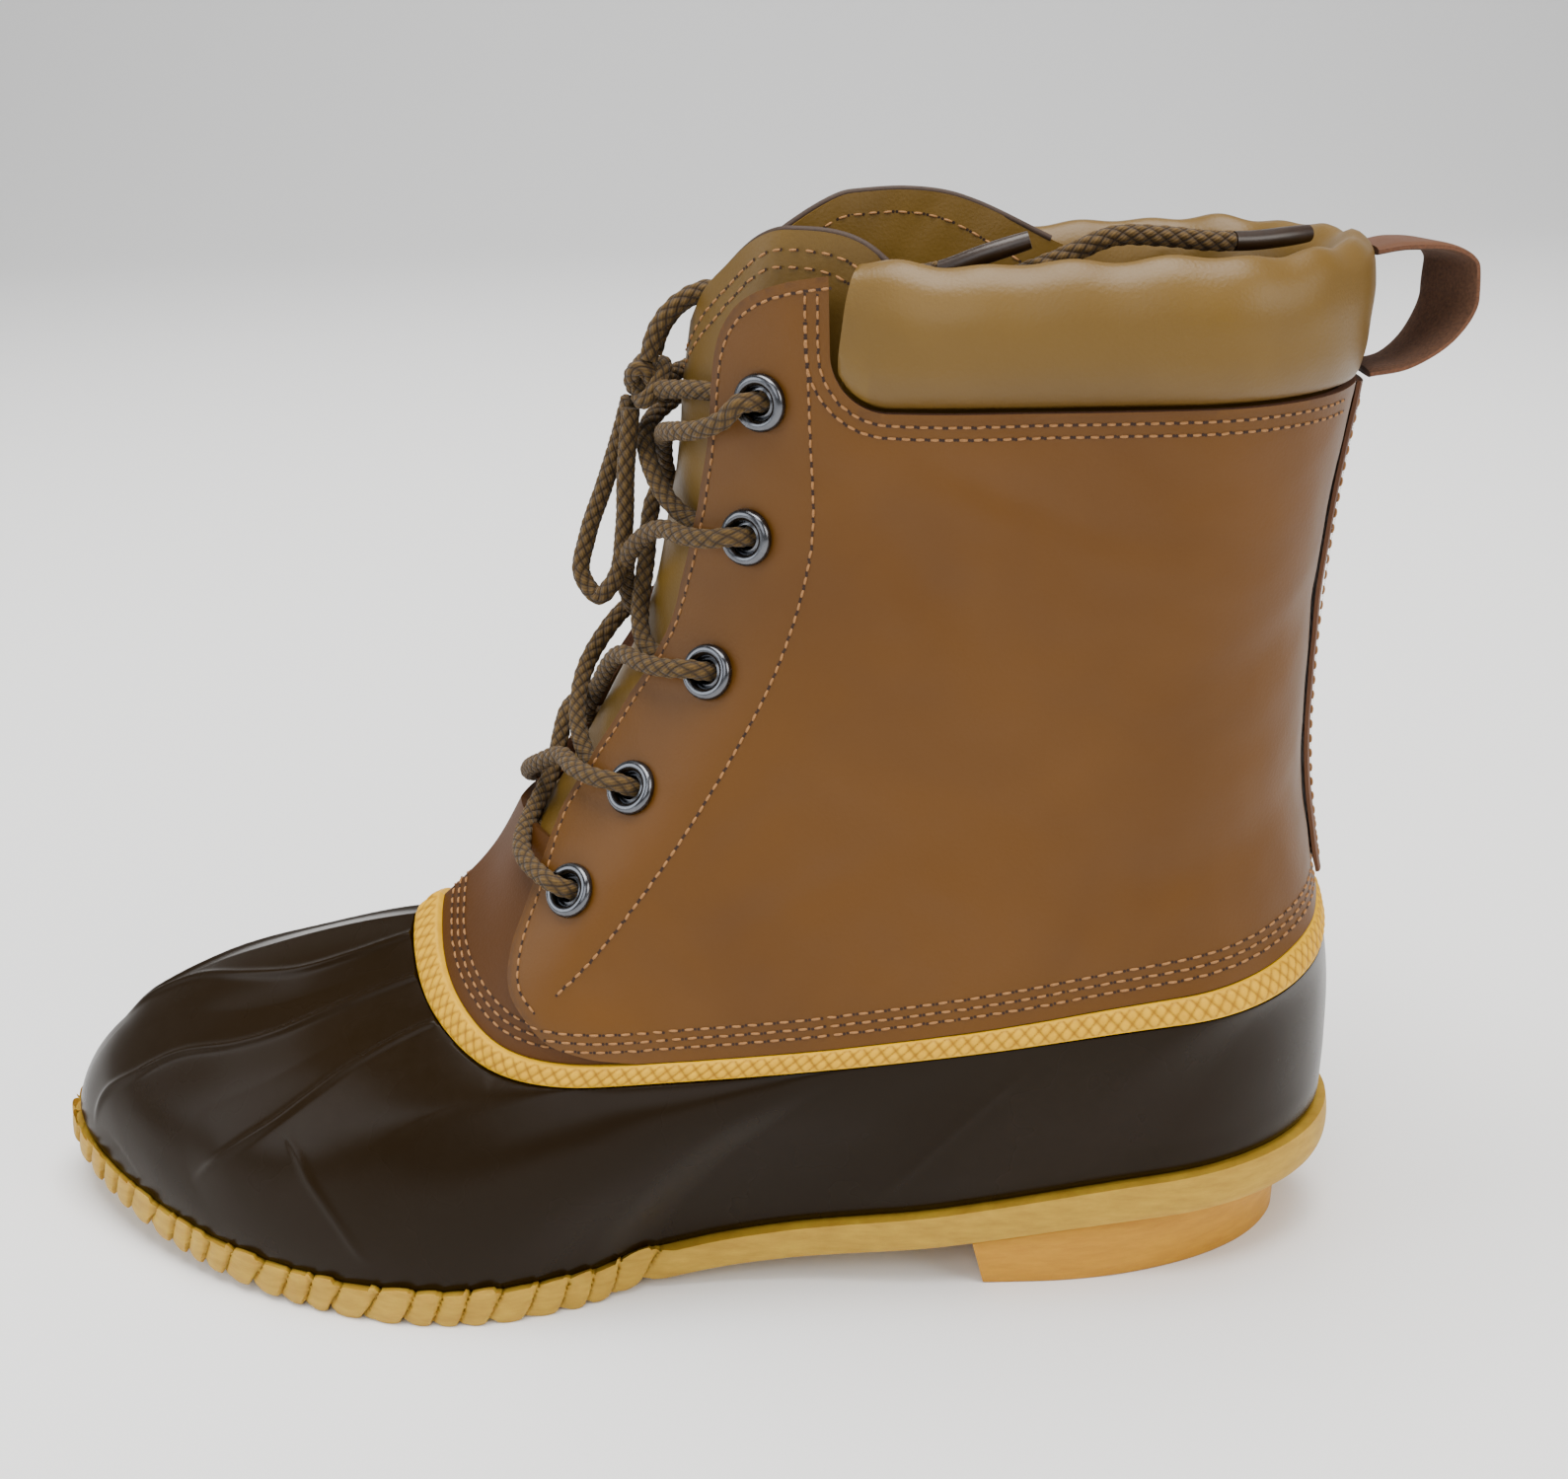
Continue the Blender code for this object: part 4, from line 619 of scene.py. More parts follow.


# Smooth leather: slow tone between two colours, pores, and painted shade from the fold attribute along edges
# and where pieces meet.
def leather(name, light, dark, roughness, grain=0.00012, specular=0.45):
    material, n, shader = newMaterial(name, roughness, specular=specular)
    out = useGroup(n, grainGroup, Scale=1500.0, Patches=16.0)
    colour = n.mix(out["Tone"], dark, light)
    colour = n.mix(n.math("MULTIPLY", out["Pores"], 0.10), colour, dark)
    # Painted shade: darker where the fold attribute is set.
    colour = n.mix(n.math("MULTIPLY", n.value("fold"), 0.75), colour, (0.05, 0.02, 0.006))
    n.join(colour, shader.inputs["Base Color"])
    n.join(n.spread(out["Tone"], 0.0, 1.0, (roughness + 0.06, roughness - 0.04)), shader.inputs["Roughness"])
    bumpFrom(n, shader, out["Height"], 0.35, grain)
    return material


tan = leather("tanLeather", (0.112, 0.0420, 0.0014), (0.088, 0.0320, 0.0009), 0.46, specular=0.28)
vampTan = leather("vampLeather", (0.074, 0.0250, 0.0014), (0.056, 0.0180, 0.0010), 0.50, specular=0.22)
olive = leather("oliveLeather", (0.140, 0.077, 0.0110), (0.104, 0.055, 0.0065), 0.42, grain=0.00014,
                specular=0.34)


# Dark brown rubber: satin, slightly mottled gloss, with faint pale dust in patches.
def rubberLower():
    material, n, shader = newMaterial("brownRubber", 0.27, specular=0.10)
    dust = useGroup(n, dustGroup, Patches=14.0, Fine=300.0)["Mask"]
    colour = n.mix(n.noise(n.place(), 9.0, 2.0), (0.0080, 0.0040, 0.0010), (0.0140, 0.0072, 0.0018))
    colour = n.mix(n.math("MULTIPLY", dust, 0.035), colour, (0.10, 0.08, 0.06))
    n.join(colour, shader.inputs["Base Color"])
    n.join(n.spread(n.noise(n.place(), 35.0, 3.0), 0.3, 0.7, (0.23, 0.33)), shader.inputs["Roughness"])
    bumpFrom(n, shader, n.noise(n.place(), 1300.0, 3.0, 0.6), 0.12, 0.0001)
    return material


# Crepe rubber: waxy, with a fine crumb, streaks along the edge, and painted shade in the creases.
def crepe(name, light, dark, roughness):
    material, n, shader = newMaterial(name, roughness, specular=0.4, Subsurface_Weight=0.12,
                                      Subsurface_Scale=0.004)
    place = n.place()
    stretched = n.put(n.add("ShaderNodeMapping"), Vector=place, Scale=(1.0, 1.0, 5.0)).outputs[0]
    streak = n.noise(stretched, 130.0, 4.0, 0.65)
    crumb = n.noise(place, 900.0, 4.0, 0.7)
    colour = n.mix(n.spread(streak, 0.3, 0.7), dark, light)
    colour = n.mix(n.math("MULTIPLY", n.spread(crumb, 0.45, 0.7), 0.16), colour, dark)
    # Painted shade: darker in the creases where the fold attribute is set.
    colour = n.mix(n.math("MULTIPLY", n.value("fold"), 0.85), colour, (0.150, 0.070, 0.010))
    n.join(colour, shader.inputs["Base Color"])
    height = n.math("ADD", n.math("MULTIPLY", streak, 0.6), n.math("MULTIPLY", crumb, 0.4))
    bumpFrom(n, shader, height, 0.5, 0.0003)
    return material


# Two close colours mixed by fine noise, which also gives the surface its tooth.
def plain(name, light, dark, roughness, scale=700.0, bump=0.0002, metallic=0.0, specular=0.5):
    material, n, shader = newMaterial(name, roughness, metallic, specular)
    tooth = n.noise(n.place(), scale, 4.0, 0.65)
    n.join(n.mix(n.spread(tooth, 0.3, 0.7), dark, light), shader.inputs["Base Color"])
    bumpFrom(n, shader, tooth, 0.5, bump)
    return material


# Braided cord: strands wind both ways; UV is round and along in diameters, as in braidHeight.
def braided(name, light, dark):
    material, n, shader = newMaterial(name, 0.78, specular=0.3, Sheen_Weight=0.08, Sheen_Roughness=0.5)
    parts = n.add("ShaderNodeSeparateXYZ")
    n.join(n.add("ShaderNodeUVMap").outputs["UV"], parts.inputs[0])
    w, s = n.math("MULTIPLY", parts.outputs[0], 5.0), n.math("MULTIPLY", parts.outputs[1], 1.15)
    first, second = n.math("ADD", w, s), n.math("SUBTRACT", w, s)
    waves = [n.math("ABSOLUTE", n.math("SINE", n.math("MULTIPLY", k, math.pi))) for k in (first, second)]
    height = n.math("POWER", n.math("MULTIPLY", waves[0], waves[1]), 0.6)
    ply = n.math("ABSOLUTE", n.math("SINE", n.math("MULTIPLY", first, 3 * math.pi)))
    fuzz = n.noise(n.place(), 2500.0, 3.0)
    blend = n.math("ADD", n.math("MULTIPLY", ply, 0.35), n.math("MULTIPLY", fuzz, 0.65))
    # Fibre tone from ply and fuzz, times the braid's height: painted shade between the strands.
    shade = n.math("MULTIPLY", blend, height)
    n.join(n.mix(n.spread(shade, 0.08, 0.62), dark, light), shader.inputs["Base Color"])
    fine = n.math("MULTIPLY", n.math("ADD", ply, fuzz), 0.25)
    bumpFrom(n, shader, n.math("ADD", height, fine), 0.8, 0.0004)
    return material


# Yellow rubber: two close tones in small spots, with painted shade between the lozenges.
def bandMaterial():
    material, n, shader = newMaterial("yellowBand", 0.55, specular=0.22)
    spots = n.noise(n.place(), 300.0, 4.0, 0.6)
    colour = n.mix(n.spread(spots, 0.3, 0.7), (0.58, 0.300, 0.003), (0.72, 0.395, 0.005))
    # Painted shade in the grooves between the lozenges, from the fold attribute.
    colour = n.mix(n.value("fold"), colour, (0.20, 0.072, 0.001))
    n.join(colour, shader.inputs["Base Color"])
    bumpFrom(n, shader, spots, 0.3, 0.0002)
    return material


# Dark nickel: brightness and roughness both follow a fine noise.
def metalMaterial():
    material, n, shader = newMaterial("darkNickel", 0.2, 1.0)
    dull = n.noise(n.place(), 500.0, 3.0)
    n.join(n.mix(dull, (0.070, 0.072, 0.080), (0.150, 0.155, 0.170)), shader.inputs["Base Color"])
    n.join(n.spread(dull, 0.3, 0.7, (0.14, 0.30)), shader.inputs["Roughness"])
    return material


rubber = rubberLower()
soleCrepe = crepe("crepe", (0.470, 0.285, 0.022), (0.335, 0.185, 0.012), 0.62)
heelCrepe = crepe("heelCrepe", (0.520, 0.250, 0.009), (0.415, 0.185, 0.006), 0.55)
band = bandMaterial()
nickel = metalMaterial()
laceBraid = braided("laceBraid", (0.110, 0.060, 0.0120), (0.026, 0.0125, 0.0026))
thread = plain("thread", (0.340, 0.160, 0.048), (0.215, 0.090, 0.022), 0.7, 3000.0, 0.00008)
# Needle holes: dark discs of painted shade.
needleHoleShade = plain("needleHoleShade", (0.030, 0.011, 0.003), (0.018, 0.006, 0.002), 0.9)
rawEdge = plain("rawEdge", (0.150, 0.056, 0.022), (0.070, 0.025, 0.009), 0.85, 1800.0, 0.0003)
fleshSide = plain("fleshSide", (0.110, 0.048, 0.022), (0.050, 0.020, 0.009), 0.95, 1500.0, 0.0004)
strapFace = leather("strapLeather", (0.115, 0.040, 0.010), (0.070, 0.023, 0.006), 0.52, specular=0.30)
felt = plain("felt", (0.240, 0.160, 0.070), (0.160, 0.100, 0.040), 0.95, 1200.0, 0.0004)
lining = plain("lining", (0.180, 0.100, 0.036), (0.120, 0.064, 0.022), 0.9, 1400.0, 0.0003)
tipPlastic = plain("lacetip", (0.024, 0.011, 0.005), (0.015, 0.007, 0.003), 0.35, 600.0, 0.00005)
darkEdge = plain("darkEdge", (0.040, 0.017, 0.006), (0.022, 0.009, 0.003), 0.7, 1500.0, 0.0001)
print("materials:", len(bpy.data.materials))


# Stitches: a short capsule for each, with a dark disc of painted shade for the needle hole at its ends
seam = dict(length=0.0021, width=0.00058, pitch=0.0033, sink=-0.00004, hole=0.00033, holeShare=1.22,
            holeLift=0.00006, unevenness=0.05, around=6, holeAround=8)
capsule = np.array([  # along, radius, height in radii
    (-0.5, 0.0, -0.6), (-0.42, 0.75, -0.10), (-0.15, 1.0, 0.30), (0.15, 1.0, 0.30), (0.42, 0.75, -0.10),
    (0.5, 0.0, -0.6)])


# paths holds pairs of points and outward normals along a seam; capsules lie along it at the pitch.
def stitchRun(name, paths, pitch=seam["pitch"], length=seam["length"]):
    places, runs, outs = [], [], []
    for points, normals in paths:
        run = runOf(points)
        count = max(1, int(run[-1] / pitch))
        at = (np.arange(count) + 0.5) * run[-1] / count
        n = unit(readAt(at, run, normals))
        d = readAt(at, run, np.gradient(points, run, axis=0))
        d = unit(d - n * (d * n).sum(1)[:, None])
        d += np.cross(n, d) * np.random.default_rng(count).normal(0, seam["unevenness"], count)[:, None]
        places.append(readAt(at, run, points))
        runs.append(d)
        outs.append(n)
    p, d, n = (np.concatenate(k)[:, None, None] for k in (places, runs, outs))
    side = np.cross(n, d)
    count, around, r = len(p), seam["around"], 0.5 * seam["width"]
    along, radius, height = (capsule[:, k][None, :, None, None] for k in range(3))
    rings = (p + d * length * along + n * (r * height + seam["sink"])
             + r * radius * circle(np.arange(around) / around * 2 * math.pi, side, n))
    base = (np.arange(count) * around * len(capsule))[:, None, None]
    i, j = np.arange(len(capsule) - 1)[:, None] * around, np.arange(around)[None]
    k = (j + 1) % around
    quads = np.stack(np.broadcast_arrays(i + j, i + k, i + around + k, i + around + j), -1)
    quads = base + quads.reshape(-1, 4)
    around = seam["holeAround"]
    # Dark discs of painted shade for the needle holes at both ends of each stitch.
    disc = seam["hole"] * circle(np.arange(around) / around * 2 * math.pi, d, side)
    holes = [p + d * (length * end * seam["holeShare"]) + n * seam["holeLift"] + disc for end in (-0.5, 0.5)]
    verts = np.concatenate([rings.reshape(-1, 3), np.concatenate(holes).reshape(-1, 3)])
    rounds = rings.size // 3 + np.arange(2 * count * around).reshape(-1, around)
    mesh = bpy.data.meshes.new(name)
    mesh.from_pydata(verts.tolist(), [], quads.reshape(-1, 4).tolist() + rounds.tolist())
    mesh.materials.append(thread)
    mesh.materials.append(needleHoleShade)
    used = np.repeat([0, 1], [quads.size // 4, 2 * count])
    mesh.polygons.foreach_set("material_index", used.astype(np.int32))
    mesh.shade_smooth()
    ob = bpy.data.objects.new(name, mesh)
    bpy.context.scene.collection.objects.link(ob)
    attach(ob, "root")


# Moves places of the form in the surface, by a distance across a line, to the left of its run.
def stepOnForm(u, row, across, distance):
    p = surface(u, row)
    n = normalAt(u, row)
    way = np.cross(n, unit(np.gradient(p, axis=0))) * across * distance
    stepU, stepRow = 0.0005, 0.25
    du = (surface(u + stepU, row) - p) / stepU
    dr = (surface(u, row + stepRow) - p) / stepRow
    a, b, c = (du * du).sum(1), (du * dr).sum(1), (dr * dr).sum(1)
    e, f = (du * way).sum(1), (dr * way).sum(1)
    det = a * c - b * b
    return u + (c * e - b * f) / det, row + (a * f - b * e) / det


# Crepe outsole: a smooth edge behind and overlapping scallops in front
outsoleLook = dict(stations=1500, pitch=0.0072, depth=0.0019, slant=-0.45, start=0.50, foot=0.0014,
                   top=0.0008, lip=0.0018, levels=15, below=12, above=9)


# Rows round the sole: the edge bulges like a barrel, scallops press in where they overlap, caps close it;
# painted shade rows darken where they press in.
def outsoleNet(k):
    s = crowded(3000)
    x = last["back"] + last["length"] * s
    sides = [evenly(np.stack([x, soleEdge(x, side), x], 1), np.linspace(0, 1, k["stations"] // 2 + 1))
             for side in (1, -1)]
    plan = bothSides(*sides)[:, :2]
    run = runOf(plan)
    toe = run[k["stations"] // 2]
    fromToe = np.abs(run - toe)
    start = np.interp(last["back"] + k["start"] * last["length"], sides[0][:, 0], toe - run[: len(sides[0])])
    active = 1 - ease(fromToe, start - 0.004, start + 0.001)
    phase = fromToe / k["pitch"] + 0.16 * np.sin(fromToe * 190) + 0.13 * np.sin(fromToe * 77 + 1)

    normal = np.stack([np.gradient(plan[:, 1]), -np.gradient(plan[:, 0])], 1)
    normal /= np.maximum(np.linalg.norm(normal, axis=1), 1e-9)[:, None]
    normal[0] = normal[-1] = (-1, 0)
    flip = np.where((normal * (plan - [0.1, 0])).sum(1) < 0, -1.0, 1.0)
    normal *= flip[:, None]
    x = plan[:, 0]
    low, high = soleLow(x), soleTop(x)
    rows, paintedShadeRows = [], []
    for v in np.linspace(0, 1, k["levels"]):
        part = (phase + k["slant"] * (v - 0.5)) % 1.0  # each scallop leans forward and lies over the next one
        swell = np.sin(math.pi * np.clip(0.12 + 0.62 * part, 0, 1))
        shape = ease(1 - part, 0.0, 0.10) * (0.15 + 0.85 * swell)
        size = 1 + 0.35 * np.sin(np.floor(phase) * 2.4)
        press = active * (1 - shape)
        bulge = np.sin(math.pi * np.clip(v * 0.9 + 0.05, 0, 1)) ** 0.5
        inset = (k["foot"] * (1 - v) + k["top"] * v) * (1 - bulge)
        inset = inset + k["depth"] * press * (0.45 + 0.55 * bulge)
        z = low + (high - low) * v
        z = z + active * size * k["lip"] * (shape * ease(v, 0.45, 1.0) + press * (1 - v) * 1.1)
        spot = plan - normal * inset[:, None]
        rows.append(np.concatenate([spot, np.maximum(z, 0.00002)[:, None]], 1))
        # Painted shade in the creases where the scallops press in, kept as the fold attribute.
        paintedShadeRows.append(np.clip(press * 0.9 - 0.35, 0, 1))
    edge = np.array(rows)
    spine = np.clip(x, last["back"] + 0.004, last["back"] + last["length"] - 0.004)
    middle = np.stack([spine, soleSwing(x)], 1)
    caps = []
    for rim, height, first, count in ((edge[0], low, 0.04, k["below"]), (edge[-1], high, 0.03, k["above"])):
        t = np.linspace(first, 1, count)[:, None, None]
        spot = rim[:, :2] + (middle - rim[:, :2]) * t
        flat = ease(t, 0, 0.1)
        caps.append(np.concatenate([spot, rim[:, 2:] * (1 - flat) + height[:, None] * flat], 2))
    return np.concatenate([caps[0][::-1], edge, caps[1]]), np.pad(paintedShadeRows, ((k["below"], k["above"]), (0, 0)))


net, fold = outsoleNet(outsoleLook)
dress(addGrid("outsoleLook", net, [soleCrepe], {"fold": fold}, sharp=50), "crepe", "outsole")


# Heel block
heelLook = dict(breast=0.0395, slope=0.0025, backInset=0.0105, backRound=0.060, sideInset=0.0014, rake=0.0009,
                edge=0.0010)


# A closed outline carried up from the floor to the sole, narrower at the ground, with rounded edges.
def heelNet(k):
    rows = []
    for v, shrink in ((0, 1.0), (0, 0.35), (0.04, 0.0), (0.3, 0.0), (0.6, 0.0), (0.97, 0.0), (1.0, 0.5)):
        back = last["back"] + k["backInset"] + k["rake"] * (1 - v) + shrink * k["edge"]
        front = k["breast"] - k["slope"] * (1 - v) - shrink * k["edge"]
        x = back + (front - back) * (1 - np.cos(np.linspace(0, math.pi / 2, 90)))
        loop = []
        for side in (1, -1):
            half = np.abs(soleEdge(np.maximum(x, last["back"] + last["heelRound"]), side))
            half = half - k["sideInset"] - k["rake"] * (1 - v) - shrink * k["edge"]
            loop.append(np.stack([x, side * half * quarterRound(x - back, k["backRound"])], 1))
        front = np.stack([np.full(24, front), np.linspace(loop[0][-1, 1], loop[1][-1, 1], 26)[1:-1]], 1)
        flat = np.concatenate([loop[0], front, loop[1][::-1]])
        top = soleLow(flat[:, 0]) - gap
        rows.append(np.concatenate([flat, (top * v)[:, None]], 1))
    rows = np.array(rows)
    ends = []
    for rim in (rows[0], rows[-1]):
        spine = np.stack([rim[:, 0], rim[:, 1] * 0, rim[:, 2]], 1)
        ends.append([rim + (spine - rim) * t for t in (0.5, 1.0)])
    return np.concatenate([np.array(ends[0][::-1]), rows, np.array(ends[1])])


dress(addGrid("heelLook", heelNet(heelLook), [heelCrepe], sharp=60), "heel_crepe", "heel")
print("sole and heel")


# Rubber lower: the form with moulded ridges, a thin flange behind the leather, and its inner wall
lowerLook = dict(wall=0.0026, flange=0.0015, flangeOut=-0.0036, flangeHeight=0.018, ridge=0.00070,
                 ridgeWidth=0.0010, panel=0.00100, panelWidth=0.0070, footInset=0.0006, unevenness=0.00018)
ridges = [  # places round the boot and up the lower, each once for both sides of the toe; last: height share
    ([(0.4870, 1.02), (0.480, 0.89), (0.479, 0.79), (0.4855, 0.69), (0.494, 0.60), (0.4985, 0.48),
      (0.500, 0.34)], 1.0),
    ([(0.4670, 1.02), (0.4558, 0.83), (0.4517, 0.70), (0.4535, 0.62), (0.4617, 0.50), (0.4658, 0.356),
      (0.4705, 0.25), (0.4717, 0.14), (0.4708, 0.08)], 1.0),
    ([(0.4420, 1.02), (0.4242, 0.79), (0.4150, 0.65), (0.4108, 0.55), (0.410, 0.42), (0.4142, 0.20)], 0.9),
    ([(0.4542, 0.612), (0.440, 0.600), (0.4283, 0.588), (0.4158, 0.562), (0.3983, 0.506), (0.3783, 0.394),
      (0.3567, 0.25), (0.340, 0.10)], 0.45),
    ([(0.1808, 0.02), (0.1725, 0.288), (0.1692, 0.544), (0.170, 0.84)], 0.35),
]


# Width of the band: wider at the back and over the instep.
def bandWidth(u):
    table = np.array([(0.00, 0.0080), (0.25, 0.0058), (0.55, 0.0050), (0.80, 0.0058), (0.93, 0.0080),
                      (1.00, 0.0085)])
    return smoothThrough(1 - np.abs(2 * (np.asarray(u) % 1.0) - 1), table)


# Each ridge is a narrow rounded line with a broad soft shoulder; its ends fade.
def ridgeRelief(points, k):
    total = np.zeros(points.shape[:-1])
    shape = points.reshape(-1, 3)
    for places, share in ridges:
        for side in (1, -1):
            uv = np.array(places)
            uv[:, 0] = uv[:, 0] if side > 0 else 1 - uv[:, 0]
            uv = spline(uv, 60)
            path = surface(uv[:, 0], uv[:, 1] * lowerSteps)
            near = np.full(len(shape), 1.0)
            at = np.zeros(len(shape))
            box = (shape > path.min(0) - 0.012).all(1) & (shape < path.max(0) + 0.012).all(1)
            some = shape[box]
            for low in range(0, len(path) - 1):
                a, b = path[low], path[low + 1]
                t = np.clip(((some - a) @ (b - a)) / ((b - a) @ (b - a)), 0, 1)
                d = np.linalg.norm(some - a - t[:, None] * (b - a), axis=1)
                closer = d < near[box]
                index = np.flatnonzero(box)[closer]
                near[index] = d[closer]
                at[index] = (low + t[closer]) / (len(path) - 1)
            ends = (1 - ease(at, 0.80, 1.0)) * (1.0 if places[0][1] > 0.97 else ease(at, 0.0, 0.30))
            bump = (np.exp(-((near / k["ridgeWidth"]) ** 2)) * k["ridge"]
                    + np.exp(-near / k["panelWidth"]) * k["panel"])
            total = np.maximum(total, (bump * ends * share).reshape(total.shape))
    return total


# The section goes up the outside, up the flange's face, back down it, and down the inner wall.
def lowerNet(k):
    u = roundLoop(np.arange(720) / 720 + 0.085 * np.sin(2 * math.pi * np.arange(720) / 720))
    levels = np.linspace(0, 1, 116)
    outside = surface(u[None], levels[:, None] * lowerSteps)
    lift = ridgeRelief(outside, k)
    lift += k["unevenness"] * noise3(outside, 0.045, 3) * ease(levels, 0.05, 0.2)[:, None]
    foot = (1 - ease(levels, 0.0, 0.05))[:, None] * k["footInset"]
    rows = list(surface(u[None], levels[:, None] * lowerSteps, lift - foot))
    out, inside = k["flangeOut"], k["flangeOut"] - k["flange"]
    climbs = (0.0 * u, 0.5 * bandWidth(u), bandWidth(u), 0.0 * u + k["flangeHeight"])
    for climb in climbs:
        rows.append(surface(u, rowAboveRim(u, climb), np.full(len(u), out)))
    for climb in climbs[::-1]:
        rows.append(surface(u, rowAboveRim(u, climb), np.full(len(u), inside)))
    for v in np.linspace(1, 0, 12):
        wall = k["wall"] + (-inside - k["wall"]) * ease(v, 0.7, 0.97)
        inner = surface(u, v * lowerSteps, np.full(len(u), -wall))
        if v == 0:
            inner[:, 2] = surface(u, 0.0)[:, 2]
        rows.append(inner)
    return closedSection(rows)


dress(addGrid("lowerLook", lowerNet(lowerLook), [rubber], sharp=70), "brown_rubber", "shell")
print("rubber lower")


# Band with raised lozenges
bandLook = dict(back=-0.0029, proud=0.0011, lozenge=0.0030, across=3, relief=0.00042)


# A low arch across the band, plus lozenges: the product of two slanted waves.
def bandNet(k):
    u = roundLoop(np.arange(1800) / 1800)
    width = bandWidth(u)
    mid = surface(u, rowAboveRim(u, 0.5 * width))
    run = np.concatenate([[0], np.cumsum(np.linalg.norm(np.diff(mid, axis=0), axis=1))])
    run = run / run[-1] * round(run[-1] / k["lozenge"])
    share = np.concatenate([[0, 0], np.linspace(0, 1, 25), [1, 1]])
    rows, paintedShadeRows = [], []
    for index, t in enumerate(share):
        edge = index < 1 or index > len(share) - 2
        arch = k["proud"] * (1 - abs(2 * t - 1) ** 5)
        a = run + 0.5 * k["across"] * t
        b = run - 0.5 * k["across"] * t
        wave = (np.abs(np.sin(math.pi * a)) * np.abs(np.sin(math.pi * b))) ** 0.55
        inner = ease(min(t, 1 - t), 0.03, 0.12)
        offset = np.full(len(u), k["back"]) if edge else arch - k["relief"] * (1 - wave) * inner
        rows.append(surface(u, rowAboveRim(u, gap + (width - gap) * t), offset))
        # Painted shade in the grooves between the lozenges, kept as the fold attribute.
        paintedShadeRows.append(np.clip(1.25 * (1 - wave) - 0.35, 0, 1) * inner if not edge else u * 0)
    return closedSection(rows), np.concatenate([paintedShadeRows, paintedShadeRows[:1]])


net, fold = bandNet(bandLook)
dress(addGrid("bandLook", net, [band], {"fold": fold}, sharp=60), "yellow_band", "band")
print("band")


# Leather shaft
shaftLook = dict(wall=0.0020, vampStep=0.0009, windowHeight=0.193, windowFront=0.067, reach=0.09,
                 corner=0.011, centre=-0.005, throatBack=0.045, vampFrom=0.29, vampTo=0.79, vampTop=0.455)
eyeletLook = dict(outer=0.0058, bore=0.0026, wall=0.0007, rise=0.0015, seat=0.0003, behind=-0.0021,
                  washer=0.0005)
quarterEdge = np.array([  # height as a share of the shaft, half gap as a share of the ankle width
    (0.200, 0.720), (0.262, 0.590), (0.300, 0.535), (0.325, 0.480), (0.365, 0.425), (0.400, 0.385),
    (0.435, 0.335), (0.485, 0.262), (0.555, 0.240), (0.700, 0.258), (0.860, 0.282), (0.928, 0.300),
    (0.960, 0.345), (0.980, 0.420), (0.992, 0.520), (1.010, 0.640)])
eyeletTable = [(0.423, 0.0108), (0.516, 0.0165), (0.626, 0.0165), (0.752, 0.0145), (0.874, 0.0135)]
creases = [  # x, z of both ends, width, depth: soft folds pressed into the leather of each side
    (0.040, 0.150, 0.062, 0.176, 0.0060, 0.00035),
    (0.012, 0.168, 0.050, 0.184, 0.0035, 0.00022),
    (0.075, 0.118, 0.100, 0.094, 0.0050, 0.00030),
    (-0.030, 0.106, 0.020, 0.094, 0.0070, 0.00040),
    (0.058, 0.104, 0.094, 0.083, 0.0050, 0.00028),
    (-0.036, 0.150, -0.012, 0.138, 0.0060, 0.00035),
]


# Half the throat's width at a height: the table's share of the ankle width.
def halfGap(z):
    return last["ankle"] * smoothThrough(z / last["shaft"], quarterEdge)


# Front edges of the quarters seen from the front, as y and z.
def throatOutline(shrink):
    z = np.linspace(quarterEdge[0, 0], quarterEdge[-1, 0], 160) * last["shaft"]
    half = halfGap(z) - shrink
    y = shaftLook["centre"]
    top = last["shaft"] * 1.2
    outer, inner = np.stack([y + half, z], 1), np.stack([y - half, z], 1)
    return np.concatenate([outer, [(y + half[-1], top), (y - half[-1], top)], inner[::-1]])


# The collar's cut-out from the side, x and z: a floor, a quarter circle in front, then straight up.
def windowOutline():
    k = shaftLook
    t = np.linspace(-math.pi / 2, 0, 24)
    arc = np.stack([k["windowFront"] - k["corner"] + k["corner"] * np.cos(t),
                    k["windowHeight"] + k["corner"] + k["corner"] * np.sin(t)], 1)
    top = last["shaft"] * 1.2
    return np.array([(-k["reach"], k["windowHeight"]), *arc, (k["windowFront"], top), (-k["reach"], top)])


# An outline carried along X (axis 0) or Y (axis 1), closed, as a cutter with a raw edge's finish.
def prism(name, outline, axis, low, high):
    ends = []
    for end in (low, high):
        c = np.full(len(outline), end)
        ends.append(np.stack([c, *outline.T] if axis == 0 else [outline[:, 0], c, outline[:, 1]], 1))
    return cutter(name, *ends)


# A closed solid between two equal outlines, with a raw edge's finish.
def cutter(name, first, second):
    n = len(first)
    faces = [list(range(n)), list(range(n, 2 * n))]
    faces += [(i, (i + 1) % n, n + (i + 1) % n, n + i) for i in range(n)]
    mesh = bpy.data.meshes.new(name)
    mesh.from_pydata(np.concatenate([first, second]).tolist(), [], faces)
    mesh.materials.append(rawEdge)
    return finishMesh(name, mesh)


# Cuts a solid away, or keeps what both share, then removes the cutter.
def cut(ob, tool, how="DIFFERENCE"):
    modifier = ob.modifiers.new("cut", "BOOLEAN")
    modifier.operation = how
    modifier.object = tool
    modifier.solver = "MANIFOLD"
    applied(ob)
    bpy.data.objects.remove(tool, do_unlink=True)


